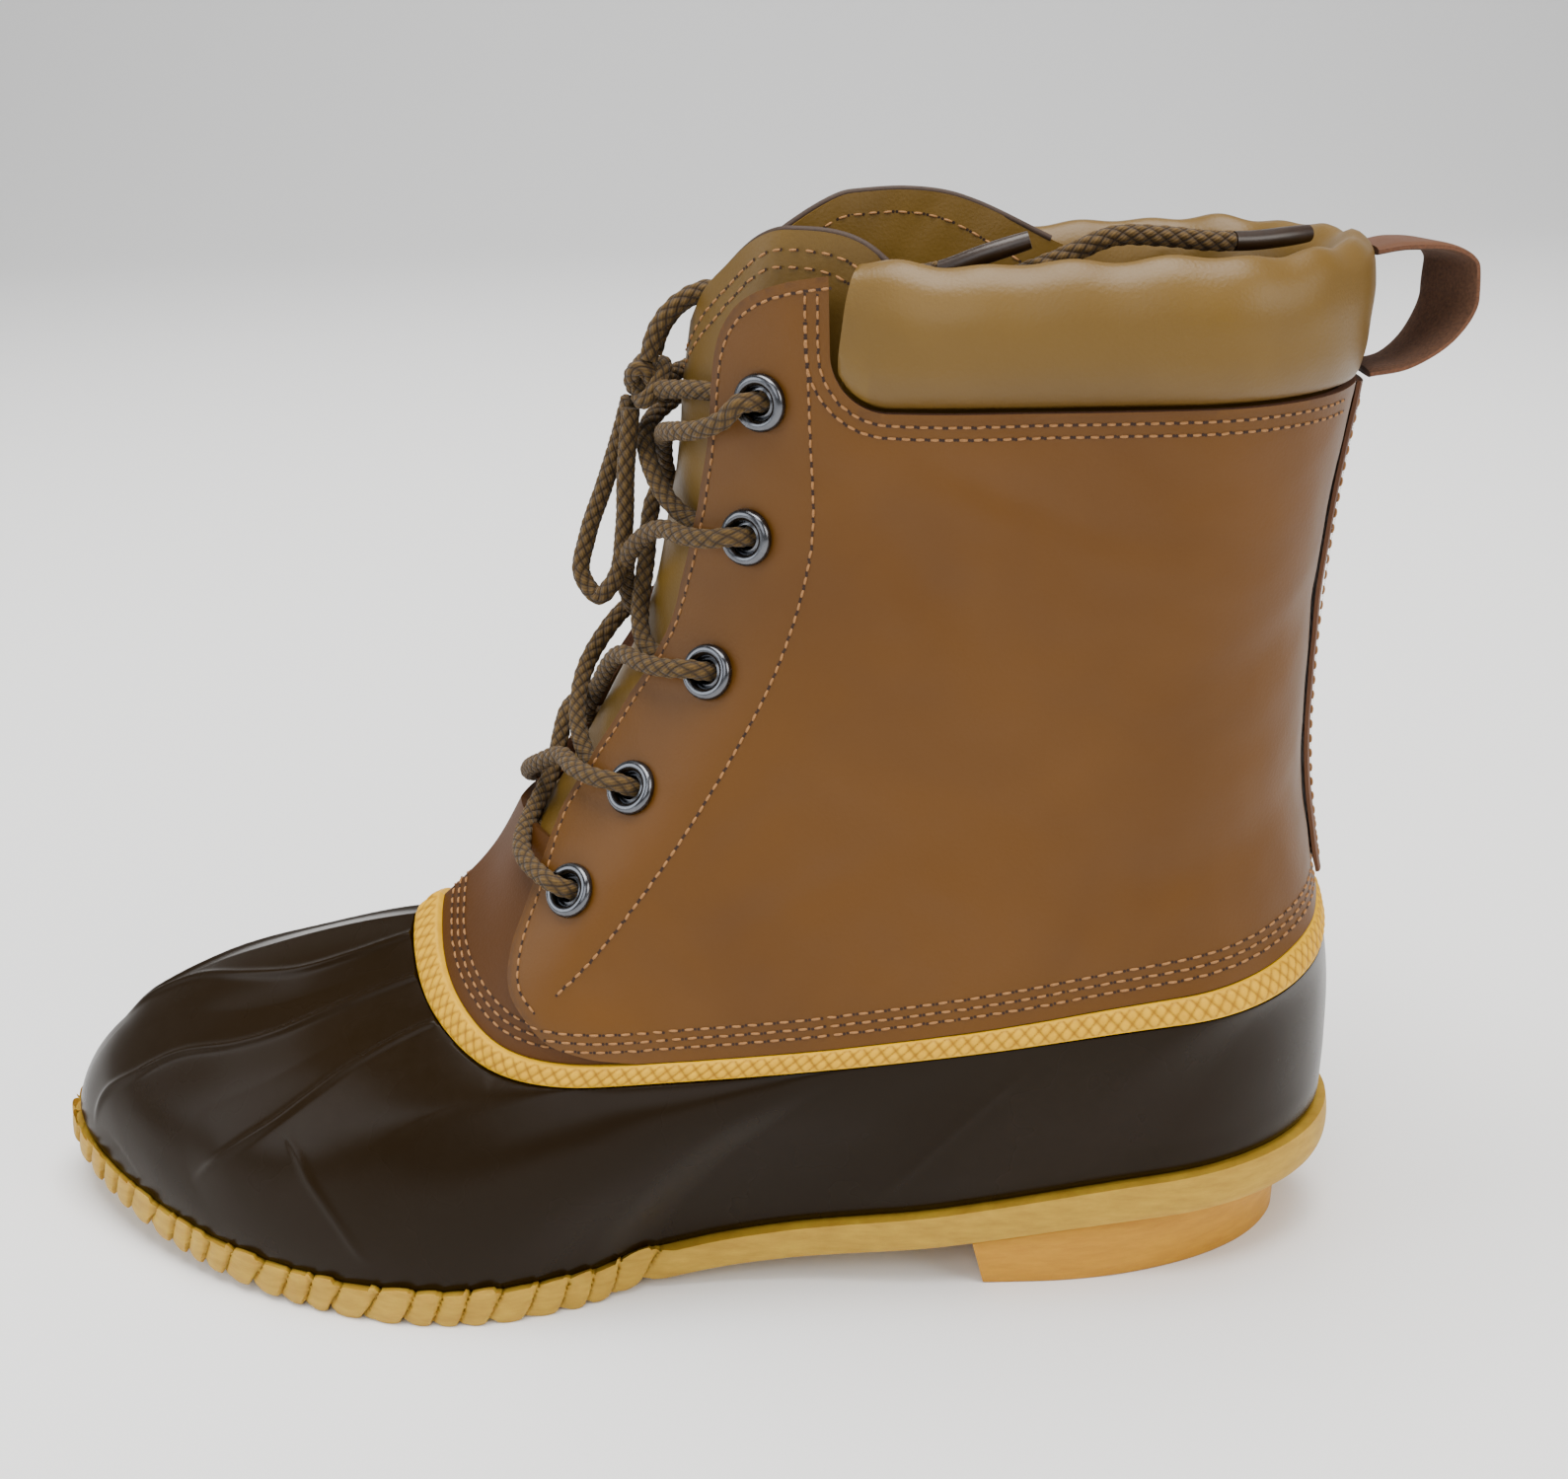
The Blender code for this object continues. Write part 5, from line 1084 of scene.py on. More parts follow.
# Each eyelet lies at its height, a set way back from the quarter's edge along the leather.
def eyeletPlaces():
    found = {}
    for number, (share, setback) in enumerate(eyeletTable):
        z = share * last["shaft"]
        for side in (1, -1):
            start = columnWhere(z, shaftLook["centre"] + side * halfGap(z), 1, side)[0]
            u = start + np.linspace(0, 0.12, 60) * -side
            p = surface(u, rowAtHeight(u, z))
            at = float(np.interp(setback, runOf(p), u))
            found[side, number + 1] = (at, float(rowAtHeight(at, z)[0]))
    return found


# A place with its outward normal and two directions in the surface.
def frameAt(u, row):
    p, n = surface(u, row), normalAt(u, row)
    up = surface(u, row + 2) - surface(u, row - 2)
    up = unit(up - n * up.dot(n))
    return p, n, up, np.cross(up, n)


eyelets = eyeletPlaces()


# Listed soft folds, slow waves, the pull of the laces round each eyelet, and the free corner that lifts.
def leatherRelief(p):
    total = 0.00034 * noise3(p, 0.060, 11) + 0.00010 * noise3(p, 0.018, 12)
    for x0, z0, x1, z1, width, depth in creases:
        a, b = np.array([x0, z0]), np.array([x1, z1])
        q = p[..., [0, 2]]
        t = np.clip(((q - a) @ (b - a)) / ((b - a) @ (b - a)), 0, 1)
        d = np.linalg.norm(q - a - t[..., None] * (b - a), axis=-1)
        total -= 2.2 * depth * np.exp(-((d / width) ** 2)) * ease(t, -0.2, 0.3) * (1 - ease(t, 0.7, 1.2))
    for place in eyelets.values():
        d = np.linalg.norm(p - surface(*place), axis=-1)
        total -= 0.00030 * np.exp(-((d / 0.0075) ** 2))
    y, z = p[..., 1] - shaftLook["centre"], p[..., 2]
    toEdge = np.abs(np.abs(y) - halfGap(z))
    low = (1 - ease(z, 0.078, 0.100)) * ease(z, 0.058, 0.066) * ease(p[..., 0], 0.10, 0.115)
    total += 0.0009 * np.exp(-((toEdge / 0.0045) ** 2)) * low
    return total


# Darker along the collar window's edge and along the quarters' front edges above the band.
def edgeShade(p):
    window = np.exp(-np.abs(p[..., 2] - shaftLook["windowHeight"]) / 0.0016) * (p[..., 0] < 0.062)
    toEdge = np.abs(np.abs(p[..., 1] - shaftLook["centre"]) - halfGap(p[..., 2])) + 0.02 * (p[..., 0] < 0.06)
    free = ease(p[..., 2], 0.060, 0.068)
    return np.clip(0.5 * window + 0.75 * np.exp(-((toEdge / 0.0011) ** 2)) * free, 0, 1)


# Rows of the form from just above the band to a height, at the given shares of the way.
def rowsBetween(u, height, steps):
    low, high = rowAboveRim(u, bandWidth(u) + gap), rowAtHeight(u, height)
    return low[None] + (high - low)[None] * steps[:, None]


# Rows from the band to the shaft's top on the face, then down again inside the wall.
def shaftNet(k):
    u = roundLoop(np.arange(460) / 460 + 0.03 * np.sin(2 * math.pi * np.arange(460) / 460))
    face = rowsBetween(u, last["shaft"], np.linspace(0, 1, 120))
    relief = leatherRelief(surface(u[None], face))
    outer = surface(u[None], face, relief)
    inner = surface(u[None], face[::-3], relief[::-3] - k["wall"])
    return closedSection(np.concatenate([outer, inner])), len(outer)


# The shaft's net as a solid, less the throat, the collar's window and the eyelet holes.
def shaft(k):
    net, count = shaftNet(k)
    face = np.zeros((len(net) - 1, net.shape[1] - 1))
    face[count:-1] = 1
    # The fold attribute holds painted shade along the window's edge and the quarters' front edges.
    ob = addGrid("shaftLook", net, [tan, lining, rawEdge], {"fold": edgeShade(net)}, face=face, sharp=60)
    cut(ob, prism("cutThroat", throatOutline(0.0), 0, k["throatBack"], last["length"]))
    cut(ob, prism("cutWindow", windowOutline(), 1, -k["reach"], k["reach"]))
    radius = eyeletLook["bore"] + eyeletLook["wall"] + gap
    for place in eyelets.values():
        p, n, up, across = frameAt(*place)
        ring = radius * circle(np.arange(28) / 28 * 2 * math.pi, up, across)
        cut(ob, cutter("cutHole", p - n * 3 * k["wall"] + ring, p + n * 2 * k["wall"] + ring))
    ob.data.set_sharp_from_angle(angle=math.radians(50))
    return dress(ob, "tan_leather", "upper")


shaft(shaftLook)


# The vamp's face lies a little under the quarters' face, and fills the foot of the throat.
def vamp(k):
    u = np.linspace(k["vampFrom"], k["vampTo"], 340)
    face = rowsBetween(u, last["shaft"] * k["vampTop"], np.linspace(0, 1, 60))
    relief = 0.0001 * noise3(surface(u[None], face), 0.03, 21)
    outer = surface(u[None], face, relief - k["vampStep"])
    inner = surface(u[None], face[::-3], relief[::-3] - k["vampStep"] - k["wall"])
    net = capped(closedSection(np.concatenate([outer, inner])))
    toEdge = np.abs(halfGap(net[..., 2]) - np.abs(net[..., 1] - k["centre"]))
    # Painted shadow of the quarters' edges on the vamp, kept as the fold attribute.
    shadow = 0.8 * np.exp(-toEdge / 0.0016) * ease(net[..., 2], 0.060, 0.068)
    ob = addGrid("vampLook", net, [vampTan, rawEdge], {"fold": shadow}, sharp=60)
    cut(ob, prism("keepVamp", throatOutline(gap), 0, k["throatBack"] + gap, last["length"]), "INTERSECT")
    return dress(ob, "tan_leather", "vamp")


vamp(shaftLook)
print("leather shaft and vamp")


# Seams of the shaft
# Points and normals of a seam; it lies lower where it crosses the vamp.
def seamAt(u, row):
    k = shaftLook
    p = surface(u, row)
    inThroat = np.abs(p[:, 1] - k["centre"]) < halfGap(p[:, 2]) - 0.0002
    onVamp = inThroat & (p[:, 2] < last["shaft"] * k["vampTop"]) & (p[:, 0] > k["throatBack"])
    down = np.where(onVamp, -k["vampStep"], leatherRelief(p))
    return surface(u, row, down), normalAt(u, row)


# A seam drawn from the side: a smooth line through x and z, laid on one side of the form.
def seamThrough(points, count, side):
    line = spline(points, count)
    u = columnWhere(line[:, 1], line[:, 0], 0, side)
    return seamAt(u, rowAtHeight(u, line[:, 1]))


seamLook = dict(bandRows=(0.0036, 0.0057, 0.0078), edgeInset=0.0022, windowInsets=(0.0022, 0.0046),
                windowFrom=-0.0345, windowAlong=0.02, windowTop=0.2155, pitch=0.0027, length=0.0018)
eyestayRear = [  # x and z
    (0.0715, 0.2100), (0.0712, 0.190), (0.0712, 0.167), (0.078, 0.143), (0.089, 0.122), (0.106, 0.097),
    (0.119, 0.081), (0.1265, 0.0735)]


# Three rows above the band; on each side one along the quarter's edge, one down the eyestay's rear and two
# round the window.
def shaftSeams(k):
    s = shaftLook
    u = np.linspace(0.0, 1.0, 1400)
    stitchRun("bandSeams", [seamAt(u, rowAboveRim(u, bandWidth(u) + climb)) for climb in k["bandRows"]])
    paths = []
    for side in (1, -1):
        z = np.linspace(0.304, 0.9855, 220) * last["shaft"]
        edge = columnWhere(z, s["centre"] + side * halfGap(z), 1, side)
        u, row = stepOnForm(edge, rowAtHeight(edge, z), -side, k["edgeInset"])
        keep = (u > 0.02) & (u < 0.98)
        paths.append(seamAt(u[keep], row[keep]))
        paths.append(seamThrough(eyestayRear, 160, side))
        for inset in k["windowInsets"]:
            t = np.linspace(-math.pi / 2, 0, 20)
            r, low = s["corner"] + inset, s["windowHeight"] - inset
            arc = np.stack([s["windowFront"] - s["corner"] + r * np.cos(t),
                            s["windowHeight"] + s["corner"] + r * np.sin(t)], 1)
            top = (s["windowFront"] + inset, k["windowTop"])
            paths.append(seamThrough([(k["windowFrom"], low), (k["windowAlong"], low), *arc, top], 150, side))
    stitchRun("quarterSeams", paths, k["pitch"], k["length"])


shaftSeams(seamLook)
print("seams")


# Padded collar
collarLook = dict(puff=0.0032, depth=0.0095, tuck=0.008, clear=0.0008, end=0.0012, drop=0.0012, backPuff=0.25,
                  fade=0.020, pressure=3.0, most=0.0012, frames=20, quality=5, mass=0.15, tension=12,
                  bending=1.5, fill=0.7)


# A rounded section carried round the collar window: out over the leather's edge, over the crown, down
# inside.
def collarNet(k, across=56, along=300):
    s = shaftLook
    low = s["windowHeight"] + 0.5 * s["corner"]
    start = columnWhere(low, s["windowFront"] - k["end"], 0, 1)[0]
    stop = columnWhere(low, s["windowFront"] - k["end"], 0, -1)[0]
    u = np.linspace(start, stop - 1, along)
    x = surface(u, rowAtHeight(u, 0.5 * (s["windowHeight"] + last["shaft"])))[:, 0]
    edge = s["windowHeight"] + 0 * x
    for _ in range(3):
        at = surface(u, rowAtHeight(u, edge))[:, 0]
        at = np.minimum(at, s["windowFront"] - 0.5 * k["end"])
        t = np.clip((at - s["windowFront"] + s["corner"]) / s["corner"], 0, 1)
        edge = s["windowHeight"] + s["corner"] * (1 - np.sqrt(1 - t * t))
    wave = 0.0006 * np.sin(u * 61) * np.sin(u * 23 + 1) + 0.0004 * np.sin(u * 140)
    span = last["shaft"] - k["drop"] + wave - edge
    wall = s["wall"] + k["clear"]
    puff = k["puff"] * (0.35 + 0.65 * ease(x, s["windowFront"], s["windowFront"] - k["fade"]))
    puff = puff * (k["backPuff"] + (1 - k["backPuff"]) * ease(x, last["back"], 0.0))
    deep, tuck = -k["depth"], -k["tuck"]
    section = [  # out, lift, share of the height
        (-wall, tuck, 0.0), (-wall, 0.0002, 0.0), (-gap, 0.0010, 0.01), (0.75 * puff, 0.0, 0.17),
        (puff, 0.0, 0.45), (0.72 * puff, 0.0, 0.72), (0.12 * deep, 0, 0.92), (0.50 * deep, 0.0, 1.00),
        (0.90 * deep, 0.0, 0.88), (deep, 0.0, 0.45), (0.84 * deep, 0.5 * tuck, 0.0), (0.53 * deep, tuck, 0.0)]
    net = np.array([surface(u, rowAtHeight(u, edge + lift + span * share), out + 0 * u)
                    for out, lift, share in section])
    fine = np.stack([spline(net[:, j], across + 1, closed=True) for j in range(net.shape[1])], 1)
    net = capped(fine)
    closing = [net[:, j:j + 1] * 0.45 + net[:, cap:cap + 1] * 0.55 for j, cap in ((1, 0), (along, along + 1))]
    return np.concatenate([net[:, :1], closing[0], fine, closing[1], net[:, -1:]], 1)


# Blows a closed piece up as cloth with a little pressure; held points stay, and no point moves past the
# cap.
def puffUp(ob, k, held):
    mesh = ob.data
    count = len(mesh.vertices)
    before = np.empty(count * 3, np.float32)
    mesh.vertices.foreach_get("co", before)
    before = before.reshape(-1, 3)
    group = ob.vertex_groups.new(name="held")
    group.add(np.flatnonzero(held(before)).tolist(), 1.0, "REPLACE")
    cloth = ob.modifiers.new("padding", "CLOTH")
    settings = cloth.settings
    settings.quality = k["quality"]
    settings.mass = k["mass"]
    settings.tension_stiffness = k["tension"]
    settings.bending_stiffness = k["bending"]
    settings.use_pressure = True
    settings.uniform_pressure_force = k["pressure"]
    settings.vertex_group_mass = "held"
    settings.effector_weights.gravity = 0
    cloth.collision_settings.use_collision = False
    scene = bpy.context.scene
    scene.frame_start, scene.frame_end = 1, k["frames"]
    cloth.point_cache.frame_start, cloth.point_cache.frame_end = 1, k["frames"]
    for step in range(1, k["frames"] + 1):
        scene.frame_set(step)
    graph = bpy.context.evaluated_depsgraph_get()
    after = np.empty(count * 3, np.float32)
    ob.evaluated_get(graph).data.vertices.foreach_get("co", after)
    after = after.reshape(-1, 3)
    ob.modifiers.clear()
    scene.frame_set(1)
    move = np.nan_to_num(after - before)
    size = np.linalg.norm(move, axis=1)[:, None]
    move *= np.minimum(1, k["most"] / np.maximum(size, 1e-9))
    mesh.vertices.foreach_set("co", (before + move).ravel())
    mesh.update()
    print(ob.name, "moved by", float(np.abs(move).max()))


# The padded roll, with painted shade darkest where it meets the leather, blown up a little as cloth.
def collar(k):
    net = collarNet(k)
    # Painted shade towards the roll's foot, where it meets the leather, kept as the fold attribute.
    above = np.maximum(net[..., 2] - shaftLook["windowHeight"], 0)
    fold = 0.6 * np.exp(-above / 0.0050) * (net[..., 0] < 0.06)
    ob = addGrid("collarLook", net, [olive], {"fold": np.clip(fold, 0, 1)}, sharp=80)
    puffUp(ob, k, lambda q: q[:, 2] < shaftLook["windowHeight"] + 0.002)
    return dress(ob, "olive_leather", "collar")


collar(collarLook)
print("collar")


# Tongue
tongueLook = dict(outerX=0.052, innerX=0.014, space=0.0045, wall=0.0042, foot=4.0 * shaftSteps / 12,
                  ripple=0.00025, piping=0.0008, fill=0.4)
tongueTop = np.array([  # across, height as a share of the shaft
    (-1.00, 0.970), (-0.80, 1.010), (-0.55, 1.022), (-0.25, 0.975), (0.00, 0.930), (0.25, 0.975),
    (0.50, 1.035), (0.75, 1.025), (1.00, 0.975)])


# Rows up the tongue on its face: places round the boot, rows of the form, and depth under the leather.
def tongueRows(k, across, steps):
    outerU = columnWhere(last["shaft"], k["outerX"], 0, 1)[0]
    innerU = columnWhere(last["shaft"], k["innerX"], 0, -1)[0]
    places = []
    for t in steps:
        spread = 0.55 + 0.45 * ease(t, 0.35, 0.95)
        u = 0.5 + across * spread * np.where(across < 0, 0.5 - outerU, innerU - 0.5)
        foot = rowAtHeight(u, last["shaft"] * shaftLook["vampTop"]) - k["foot"]
        head = rowAtHeight(u, np.minimum(smoothThrough(across, tongueTop), 1.055) * last["shaft"])
        row = foot + (head - foot) * t
        x = surface(u, row)[:, 0]
        beside = 1 - ease(x, shaftLook["windowFront"], shaftLook["windowFront"] + collarLook["fade"])
        deep, clear = shaftLook["wall"] + shaftLook["vampStep"] + 2 * gap, shaftLook["wall"] + k["space"]
        depth = deep + (clear - deep) * ease(t, 0.04, 0.12)
        behind = collarLook["depth"] + 3 * gap
        depth = depth + np.maximum(behind - depth, 0) * beside * ease(t, 0.35, 0.62)
        places.append((u, row, depth))
    return [np.array(q) for q in zip(*places)]


# A padded sheet: the face less a thickness that falls off to its sides and top, with piping and seams.
def tongue(k):
    across, steps = np.linspace(-1, 1, 150), np.linspace(0, 1, 130)
    u, row, depth = tongueRows(k, across, steps)
    t = steps[:, None]
    thick = k["wall"] * (0.40 + 0.60 * (1 - np.abs(across) ** 4)) * (0.55 + 0.45 * (1 - t**8))
    face = surface(u, row, -depth)
    ripple = k["ripple"] * noise3(face, 0.022, 31) * ease(t, 0.2, 0.4)
    outer, inner = surface(u, row, -depth + ripple), surface(u, row, -depth - thick + ripple)
    net = capped(closedSection(np.concatenate([outer, inner[::-1]])))
    ob = addGrid("tongueLook", net, [olive], sharp=60)
    dress(ob, "olive_leather", "tongue")
    rim = 0.5 * (outer[-1] + inner[-1])
    dress(tube("tonguePiping", spline(rim[2:-2], 300), k["piping"], [darkEdge], sides=10), "olive_leather")
    outward = normalAt(u, row)
    paths = [(outer[level, 6:-6], outward[level, 6:-6]) for level in (-7, -11)]
    paths.append((outer[60:-8, 5], outward[60:-8, 5]))
    paths.append((inner[-9, 6:-6], -outward[-9, 6:-6]))
    stitchRun("tongueSeams", paths)


tongue(tongueLook)
print("tongue")


# Back strip and pull loop
strapLook = dict(width=0.017, wall=0.0018, lift=0.0006, stripWidth=0.0145, stripWall=0.0014, foot=0.004,
                 seamAside=0.0055, crossSeam=0.006, twist=0.42, wobble=0.0005)
pullLoop = np.array([  # behind the collar's back, above the window's edge: shares of the strap width
    (-0.045, 0.07), (0.36, 0.16), (0.74, 0.46), (0.95, 0.88), (0.94, 1.24), (0.66, 1.43), (0.32, 1.45),
    (-0.02, 1.40)])


# A flat strip up the back seam, rounded at its edges.
def backStrip(k):
    low = rowAboveRim(0.0, bandWidth(0.0) + k["foot"])[0]
    high = rowAtHeight(0.0, shaftLook["windowHeight"] - 3 * gap)[0]
    rows = np.linspace(low, high, 90)
    perU = np.linalg.norm(surface(0.004, rows) - surface(0.0, rows), axis=1) / 0.004
    w = np.concatenate([np.linspace(-0.5, 0.5, 20), np.linspace(0.5, -0.5, 20)]) * k["stripWidth"]
    top = np.repeat([0.0, 1.0], 20)
    rounding = 1 - 0.45 * (np.abs(w / k["stripWidth"]) * 2) ** 8
    lift = k["lift"] + k["stripWall"] * top * rounding
    u = w[:, None] / perU[None]
    net = surface(u, rows[None], lift[:, None] + leatherRelief(surface(u, rows[None])) * 0.5)
    ob = addGrid("backStripLook", capped(closedSection(net)), [strapFace], sharp=50)
    dress(ob, "strap_leather", "back_strap")
    paths = []
    face = k["lift"] + k["stripWall"]
    for w in (-k["seamAside"], k["seamAside"]):
        line = surface(w / perU, rows, face)
        paths.append((line[2:-2], normalAt(w / perU, rows)[2:-2]))
    for level in (4, 7, 10):
        across = np.linspace(-k["crossSeam"], k["crossSeam"], 20) / perU[level]
        paths.append((surface(across, rows[level], face + 0 * across), normalAt(across, rows[level])))
    stitchRun("backStripSeams", paths)


# A strap bent into a loop: a flat section with rounded edges carried along the loop's line.
def loopPiece(k):
    middle = rowAtHeight(0.0, 0.5 * (shaftLook["windowHeight"] + last["shaft"]))[0]
    face = surface(0.0, middle, collarLook["backPuff"] * collarLook["puff"] + gap)[0]
    t = np.linspace(0, 1, 120)
    table = np.concatenate([np.linspace(0, 1, len(pullLoop))[:, None], pullLoop], 1)
    x = face - k["width"] * smoothThrough(t, table, 1)
    z = shaftLook["windowHeight"] + k["width"] * smoothThrough(t, table, 2)
    line = spline(np.stack([x, x * 0, z], 1), 140)
    run = unit(np.gradient(line, axis=0))
    out = -np.stack([run[:, 2], run[:, 1] * 0, -run[:, 0]], 1)
    w = np.concatenate([np.linspace(-0.5, 0.5, 24), np.linspace(0.5, -0.5, 24)])
    up = np.repeat([0.0, 1.0], 24)
    soft = np.abs(2 * w) ** 8 * 0.3
    up = up + np.where(up > 0, -soft, soft)
    along = np.linspace(0, 1, len(line))
    wobble = k["wobble"] * np.sin(along * 9) * np.sin(math.pi * along)
    turn = k["twist"] * np.sin(math.pi * along) ** 1.5
    wide = np.stack([-np.sin(turn), np.cos(turn), 0 * turn], 1)
    net = (line[None] + (w[:, None] * k["width"] + wobble)[..., None] * wide[None]
           + (up[:, None] * k["wall"])[..., None] * out[None])
    face = np.zeros((len(net), net.shape[1] + 1))  # outside; then suede inside and raw edges
    face[:23] = 1
    face[[23, -1]] = 2
    ob = addGrid("pullLoopLook", capped(closedSection(net)), [strapFace, fleshSide, rawEdge], face=face,
                 sharp=50)
    return dress(ob, "strap_leather", "pull_loop")


backStrip(strapLook)
loopPiece(strapLook)
print("strap")


# Insole
insoleLook = dict(space=0.0022, thick=0.0035, hollow=0.0007, unevenness=0.0003, edge=0.001)


# A felt sheet on the sole's top, its outline drawn in all round.
def insole(k):
    inset = last["welt"] + lowerLook["wall"] + k["space"]
    x = last["back"] + inset + (last["length"] - 2 * inset) * crowded(160)
    share = np.linspace(-1, 1, 60)[:, None]
    edges = [soleEdge(x, side, inset) for side in (1, -1)]
    y = 0.5 * (edges[0] + edges[1]) + 0.5 * (edges[0] - edges[1]) * share
    x = x + 0 * y
    base = soleTop(x) + gap
    dip = k["hollow"] * (1 - share**2) + k["unevenness"] * noise3(np.stack([x, y, 0 * y], -1), 0.03, 41)
    top = np.stack([x, y, base + k["thick"] - np.clip(dip, 0, 0.0015) - k["edge"] * np.abs(share) ** 12], -1)
    bottom = np.stack([x, y, base], -1)
    net = np.concatenate([bottom[::-1], top, bottom[-1:]])
    ob = addGrid("insoleLook", net, [felt], sharp=60)
    return dress(ob, "insole_board", "insole")


insole(insoleLook)


# Eyelets
# A rolled rim turned about the leather's normal, with a barrel through the leather and a flat washer
# behind.
def eyeletRing(name, place, k):
    p, n, up, across = frameAt(*place)
    t = np.linspace(math.pi, 0, 12)
    barrel, washer, foot = k["bore"] + k["wall"], 0.86 * k["outer"], k["behind"] - k["washer"]
    mid, half = 0.5 * (barrel + k["outer"]), 0.5 * (k["outer"] - barrel)
    rim = [(mid + half * math.cos(a), k["seat"] + k["rise"] * max(math.sin(a), 0) ** 0.8) for a in t]
    profile = [(k["bore"], k["behind"] - gap), (k["bore"], k["seat"] + 0.2 * k["rise"])] + rim
    profile += [(k["outer"], k["seat"] - 0.0002), (barrel, k["seat"] - 0.0002), (barrel, k["behind"]),
                (washer, k["behind"]), (washer, foot), (k["bore"], foot), (k["bore"], k["behind"] - gap)]
    way = circle(np.linspace(0, 2 * math.pi, 41), up, across)
    net = np.array([p + n * h + r * way for r, h in profile])
    ob = addGrid(name + "Look", net, [nickel], sharp=50)
    return dress(ob, "dark_nickel", name)


for (side, number), place in eyelets.items():
    eyeletRing("eyelet_%s_%d" % ("outer" if side > 0 else "inner", number), place, eyeletLook)
print("insole and eyelets")


# Laces
laceLook = dict(width=0.0038, step=0.00042, sides=26, braid=0.085, over=0.0022, flat=0.0006, bar=-0.0047,
                knot=(0.0030, 0.0052, 0.0034), knotShare=0.92, tip=0.018)
knotAt = np.array([0.3473 * last["length"], -0.0723 * last["ankle"], 0.8707 * last["shaft"]])


# A place from an eyelet (0) towards the throat's middle line (1), at the eyelet's row or dropped below
# it.
def beside(place, share, offset, drop=0.0):
    u, row = place
    return surface(u + (0.5 - u) * share, row - drop, offset)


# How far an eyelet is from its quarter's edge, as a share of the way to the middle line.
def edgeShare(place, side):
    z = float(surface(*place)[2])
    edge = columnWhere(z, shaftLook["centre"] + side * halfGap(z), 1, side)[0]
    return float((edge - place[0]) / (0.5 - place[0]))


# From the knot down through the eyelets: over one edge, into the hole, out beneath the leather, across.
def laceRoute(first):
    r = 0.5 * laceLook["width"]
    over, flat, under = r + laceLook["over"], r + laceLook["flat"], -(shaftLook["wall"] + r + 2 * gap)
    points = []
    side = first
    for low in range(1, 5):
        start, stop = eyelets[side, low], eyelets[-side, low + 1]
        e0, e1 = edgeShare(start, side), edgeShare(stop, -side)
        if low == 1:
            points += [beside(start, 0.02, -0.0062), beside(start, 0.0, -0.0010),
                       beside(start, 0.05, over - 0.0006), beside(start, 0.5 * e0, over - 0.0008),
                       beside(start, e0 + 0.08, flat + 0.0002)]
        else:
            points += [beside(start, 0.35 * e0, under - 0.0004), beside(start, e0 - 0.04, under),
                       beside(start, e0 + 0.12, under + 0.0006)]
        sink = 0.0008 if (side > 0) == (low % 2 == 0) else -0.0032
        points.append(surface(0.5 + 0.01 * side, 0.5 * (start[1] + stop[1]), sink))
        sag = 11.0 if low == 4 else 3.0
        points += [beside(stop, e1 + 0.16, flat - 0.0010, sag),
                   beside(stop, e1 - 0.02, flat + 0.0006, 0.8 * sag),
                   beside(stop, 0.42 * e1, over - 0.0004, 0.4 * sag), beside(stop, 0.06, over - 0.0008),
                   beside(stop, 0.0, -0.0012), beside(stop, 0.02, -0.0052)]
        side = -side
    top = eyelets[side, 5]
    e = edgeShare(top, side)
    points += [beside(top, 0.4 * e, under - 0.0006), beside(top, e - 0.02, under),
               beside(top, e + 0.12, under + 0.0008)]
    points.append(knotAt + [-0.001, side * 0.0045, -0.001])
    return points


# Braided cord along a path, in place of its nodes.
def lacePiece(name, path, *nodes, share=1.0, closed=False):
    k = laceLook
    ob = tube(name, path, 0.5 * k["width"] * share, [laceBraid], k["sides"], k["braid"], closed)
    return dress(ob, "lace_braid", *nodes)


# Both laces along their routes, and the bar that joins them below the lowest eyelets.
def laces(k):
    routes = [laceRoute(1), laceRoute(-1)]
    for index, route in enumerate(routes):
        path = spline(route, int(lineLength(spline(route, 60)) / k["step"] / 1.15))
        nodes = ["lace_cross_%d" % (2 * index + k) for k in (1, 2)]
        lacePiece("laceRun%d" % (index + 1), path, *nodes)
        print("lace", index + 1, round(lineLength(path), 3))
    bar = [surface(0.5 + s * 0.05, eyelets[1, 1][1], k["bar"]) for s in (-1, 0, 1)]
    a, b = routes[1][0], routes[0][0]
    lacePiece("laceBar", spline([a, *bar[::-1], b] if a[1] > b[1] else [a, *bar, b], 150))


# Points from shares of the boot's length, ankle width and shaft height.
def onBoot(points):
    return np.array(points) * np.array([last["length"], last["ankle"], last["shaft"]])


bowLoop = onBoot([
    (0.3627, -0.0988, 0.8523), (0.3710, -0.1241, 0.8176), (0.3850, -0.1386, 0.7658),
    (0.3990, -0.1386, 0.7162), (0.4040, -0.1205, 0.6780), (0.3925, -0.0904, 0.6600),
    (0.3790, -0.0602, 0.6790), (0.3700, -0.0361, 0.7300), (0.3665, -0.0337, 0.7883),
    (0.3610, -0.0458, 0.8468)])
endShort = onBoot([
    (0.3467, -0.0241, 0.8941), (0.3417, -0.0181, 0.9167), (0.3283, -0.0120, 0.9414),
    (0.3050, -0.0181, 0.9572), (0.2833, 0.0000, 0.9541), (0.2583, 0.0723, 0.9482),
    (0.2317, 0.1386, 0.9595), (0.2033, 0.1988, 0.9752), (0.1767, 0.2410, 0.9775), (0.1550, 0.2831, 0.9811),
    (0.1233, 0.3133, 0.9964), (0.0950, 0.3229, 1.0081)])
